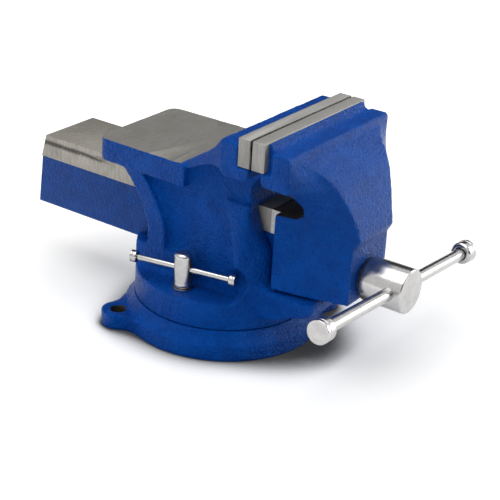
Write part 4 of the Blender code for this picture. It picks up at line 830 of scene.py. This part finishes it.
def cap_shape(radius, length, wall, bore):
    """Cap of a bar: a flat disc with a shallow dish, a groove and a rounded collar."""
    shares = ((0.0, 0.02), (0.62, 0.02), (0.68, 0.0), (0.96, 0.0), (1.0, 0.04), (1.0, 0.27), (0.955, 0.30),
              (0.955, 0.33), (0.985, 0.36), (0.985, 0.84), (0.86, 0.98), (0.70, 1.0))
    outside = [(across * radius, -along * length) for across, along in shares]
    return soft_corners(outside + [(bore, -length), (bore, -wall), (0.0, -wall)], 0.05 * length, 2)


def handle_way():
    """Direction of the sliding bar."""
    tilt = math.radians(HANDLE_TILT)
    return Vector((math.cos(tilt), 0.0, -math.sin(tilt)))


def bar_profile(radius, half, corner):
    """Profile of a plain bar with rounded ends."""
    return soft_corners([(0.0, half), (radius, half), (radius, -half), (0.0, -half)], corner)


def make_handle():
    """Sliding bar and its two caps."""
    way = handle_way()
    centre = Vector((0.0, HEAD_FRONT + HANDLE_INSET, SCREW_AXIS)) + way * HANDLE_SHIFT
    bar = bar_profile(HANDLE_RADIUS, HANDLE_HALF_LENGTH, 0.0005)
    turned_piece("tee_bar", bar, centre, way, CHROME, "handle", "handle_bar", steps=SMALL_STEPS)
    shape = cap_shape(CAP_RADIUS, CAP_LENGTH, CAP_WALL, HANDLE_RADIUS + CAP_PLAY)
    for name, side in (("left", -1), ("right", 1)):
        place = centre + way * side * (HANDLE_HALF_LENGTH + CAP_WALL - CAP_SETBACK)
        turned_piece(f"tee_cap_{name}", shape, place, way * side, CHROME, "handle", f"handle_cap_{name}")


def make_locks():
    """Clamping nuts with their bars and caps."""
    turn = math.radians(LOCK_BAR_TURN)
    top = LOCK_NUT_HEIGHT
    r = LOCK_NUT_RADIUS
    dome = [(0.0, top), (0.55 * r, top - 0.0001), (0.80 * r, top - 0.0007), (0.95 * r, top - 0.0018),
            (r, top - 0.0034)]
    skirt = [(r, 0.0034), (1.02 * r, 0.0022), (r, 0.0), (LOCK_NUT_BORE, 0.0), (LOCK_NUT_BORE, LOCK_NUT_ROOF),
             (0.0, LOCK_NUT_ROOF)]
    nut = soft_corners(dome + skirt, 0.0008)
    bar = bar_profile(LOCK_BAR_RADIUS, LOCK_BAR_HALF_LENGTH, 0.0003)
    cap = cap_shape(LOCK_CAP_RADIUS, LOCK_CAP_LENGTH, LOCK_CAP_WALL, LOCK_BAR_RADIUS + CAP_PLAY)
    for name, side in (("left", -1), ("right", 1)):
        foot = Vector((side * LOCK_REACH, 0.0, LOCK_NUT_BOTTOM))
        centre = Vector((side * LOCK_REACH, 0.0, LOCK_BAR_HEIGHT))
        way = Vector((side * math.sin(turn), math.cos(turn), 0.0))
        turned_piece(f"{name}_lever_nut", nut, foot, (0.0, 0.0, 1.0), CHROME, f"{name}_nut",
                     f"{name}_lock_nut", bores=((centre - foot, way, LOCK_BAR_RADIUS + CAP_PLAY),))
        turned_piece(f"{name}_lever_bar", bar, centre, way, CHROME, f"{name}_lever", f"{name}_lock_bar",
                     steps=SMALL_STEPS)
        for end, sign in (("front", -1), ("rear", 1)):
            spot = centre + way * sign * (LOCK_BAR_HALF_LENGTH + LOCK_CAP_WALL)
            turned_piece(f"{name}_lever_cap_{end}", cap, spot, way * sign, CHROME, f"{name}_lever",
                         f"{name}_lock_cap_{end}", steps=SMALL_STEPS)


def dress_nodes():
    """Materials of the solids that are shown as they are."""
    finishes = {"lock_washer": CHROME, "spindle_nut": RAW_IRON_AND_SHADE}
    for name, thing in nodes.items():
        if thing.hide_render:
            continue
        material = DARK_STEEL_AND_SHADE
        for part, finish in finishes.items():
            if part in name:
                material = finish
        for slot in thing.material_slots:
            slot.material = material


# Studio

def seen_rays(tree):
    """1 for camera rays and for reflected and refracted ones."""
    rays = tree.nodes.new("ShaderNodeLightPath").outputs
    value = rays["Is Camera Ray"]
    for name in ("Is Glossy Ray", "Is Transmission Ray"):
        larger = tree.nodes.new("ShaderNodeMath")
        larger.operation = "MAXIMUM"
        tree.links.new(value, larger.inputs[0])
        tree.links.new(rays[name], larger.inputs[1])
        value = larger.outputs[0]
    return value


def make_floor():
    """Pale floor that keeps the lamps' shadow and meets a white background; next to the object its colour and
    glow are darkened by ambient occlusion as a painted contact shadow, and its glow rises with distance from
    the object.
    """
    bpy.ops.mesh.primitive_grid_add(x_subdivisions=4, y_subdivisions=4, size=FLOOR_SIZE,
                                    location=(0.0, 0.0, -FLOOR_DROP))
    floor = bpy.context.active_object
    floor.name = "floor"
    material = bpy.data.materials.new("floor")
    material.use_nodes = True
    tree = material.node_tree
    shader = tree.nodes["Principled BSDF"]
    shader.inputs["Roughness"].default_value = 0.9
    shader.inputs["Specular IOR Level"].default_value = 0.1
    # Ambient occlusion darkens the floor's colour and glow next to the object: a painted contact shadow.
    open_sky = tree.nodes.new("ShaderNodeAmbientOcclusion")
    open_sky.inputs["Distance"].default_value = CONTACT_DISTANCE
    painted_contact_shadow = tree.nodes.new("ShaderNodeMapRange")
    painted_contact_shadow.interpolation_type = "SMOOTHSTEP"
    tree.links.new(open_sky.outputs["AO"], painted_contact_shadow.inputs["Value"])
    for name, value in (("From Min", 0.56), ("From Max", 0.90), ("To Min", 0.06), ("To Max", 0.90)):
        painted_contact_shadow.inputs[name].default_value = value
    tree.links.new(painted_contact_shadow.outputs[0], shader.inputs["Base Color"])
    away = tree.nodes.new("ShaderNodeVectorMath")
    away.operation = "LENGTH"
    tree.links.new(tree.nodes.new("ShaderNodeTexCoord").outputs["Object"], away.inputs[0])
    lift = tree.nodes.new("ShaderNodeMapRange")
    tree.links.new(away.outputs["Value"], lift.inputs["Value"])
    for name, value in (("From Min", 0.16), ("From Max", 0.70), ("To Min", 0.26), ("To Max", 0.95)):
        lift.inputs[name].default_value = value
    shown = lift.outputs[0]
    for factor in (painted_contact_shadow.outputs[0], seen_rays(tree)):
        product = tree.nodes.new("ShaderNodeMath")
        product.operation = "MULTIPLY"
        tree.links.new(shown, product.inputs[0])
        tree.links.new(factor, product.inputs[1])
        shown = product.outputs[0]
    shader.inputs["Emission Color"].default_value = (1.0, 1.0, 1.0, 1.0)
    tree.links.new(shown, shader.inputs["Emission Strength"])
    floor.data.materials.clear()
    floor.data.materials.append(material)


def make_world():
    """Even studio light, seen as white behind the object and in its reflections."""
    world = bpy.data.worlds.new("studio")
    bpy.context.scene.world = world
    world.use_nodes = True
    tree = world.node_tree
    background = tree.nodes["Background"]
    background.inputs["Color"].default_value = (1.0, 1.0, 1.0, 1.0)
    strength = tree.nodes.new("ShaderNodeMapRange")
    strength.inputs["To Min"].default_value = WORLD_LEVEL
    strength.inputs["To Max"].default_value = 1.0
    tree.links.new(seen_rays(tree), strength.inputs["Value"])
    tree.links.new(strength.outputs[0], background.inputs["Strength"])


def make_lights():
    """Wide softbox overhead, one on the left and a smaller one in front on the right."""
    for name, place, size, power in (
        ("overhead", (-0.20, 0.0, 1.15), (1.2, 1.2), 11.5),
        ("left", (-1.25, 0.20, 0.50), (1.2, 0.9), 4.2),
        ("front_right", (1.05, -0.95, 0.45), (0.7, 0.5), 8.0),
    ):
        light = bpy.data.lights.new(name, "AREA")
        light.shape = "RECTANGLE"
        light.size, light.size_y = size
        light.energy = power
        lamp = add(name, light)
        lamp.matrix_world = aimed(place, Vector(place) - Vector((0.0, 0.0, 0.08)))
        lamp.visible_glossy = name != "left"


def make_cards():
    """Two dark screens and a pale one round the set, seen in reflections alone, for the chrome's bands."""
    material = bpy.data.materials.new("dark_card")
    material.use_nodes = True
    shader = material.node_tree.nodes["Principled BSDF"]
    shader.inputs["Base Color"].default_value = (0.03, 0.03, 0.033, 1.0)
    shader.inputs["Roughness"].default_value = 0.9
    glow = bpy.data.materials.new("pale_card")
    glow.use_nodes = True
    shader = glow.node_tree.nodes["Principled BSDF"]
    shader.inputs["Emission Color"].default_value = (1.0, 0.97, 0.95, 1.0)
    shader.inputs["Emission Strength"].default_value = PALE_CARD_LEVEL
    for i, (look, start, sweep, bottom, top) in enumerate((
        (material, 5.0, 85.0, 0.05, 1.45),
        (material, 215.0, 60.0, 0.15, 0.80),
        (glow, -62.0, 40.0, 0.10, 0.85),
    )):
        bm = bmesh.new()
        rows = []
        for k in range(CARD_STEPS + 1):
            angle = math.radians(start + sweep * k / CARD_STEPS)
            rows.append([bm.verts.new((CARD_DISTANCE * math.cos(angle), CARD_DISTANCE * math.sin(angle), z))
                         for z in (bottom, top)])
        for one, other in zip(rows, rows[1:]):
            bm.faces.new((one[0], other[0], other[1], one[1]))
        hide_card(add(f"card_{i}", mesh_of(bm, f"card_{i}")), look)


def hide_card(card, material):
    """Leave a card to reflections alone."""
    card.data.materials.append(material)
    card.visible_camera = False
    card.visible_diffuse = False
    card.visible_shadow = False


def make_camera():
    """Camera solved from the photograph: about 56 degrees round to the left and 25 degrees up."""
    yaw, pitch, roll = (math.radians(angle) for angle in CAMERA_ANGLES)
    ahead = Vector((math.sin(-yaw) * math.cos(pitch), math.cos(-yaw) * math.cos(pitch), math.sin(pitch)))
    level = ahead.cross(Vector((0, 0, 1))).normalized()
    upright = level.cross(ahead)
    right = math.cos(roll) * level + math.sin(roll) * upright
    up = math.cos(roll) * upright - math.sin(roll) * level
    camera = bpy.data.cameras.new("camera")
    camera.sensor_width = CAMERA_SENSOR
    camera.lens = CAMERA_LENS
    thing = add("camera", camera)
    rows = [(right[i], up[i], -ahead[i], CAMERA_PLACE[i]) for i in range(3)]
    thing.matrix_world = Matrix(rows + [(0.0, 0.0, 0.0, 1.0)])
    bpy.context.scene.camera = thing
    bpy.context.scene.view_settings.view_transform = "Standard"


make_base()
make_body()
make_jaw()
make_beam()
make_plates()
make_screw()
make_handle()
make_locks()
dress_nodes()
make_floor()
make_world()
make_lights()
make_cards()
make_camera()
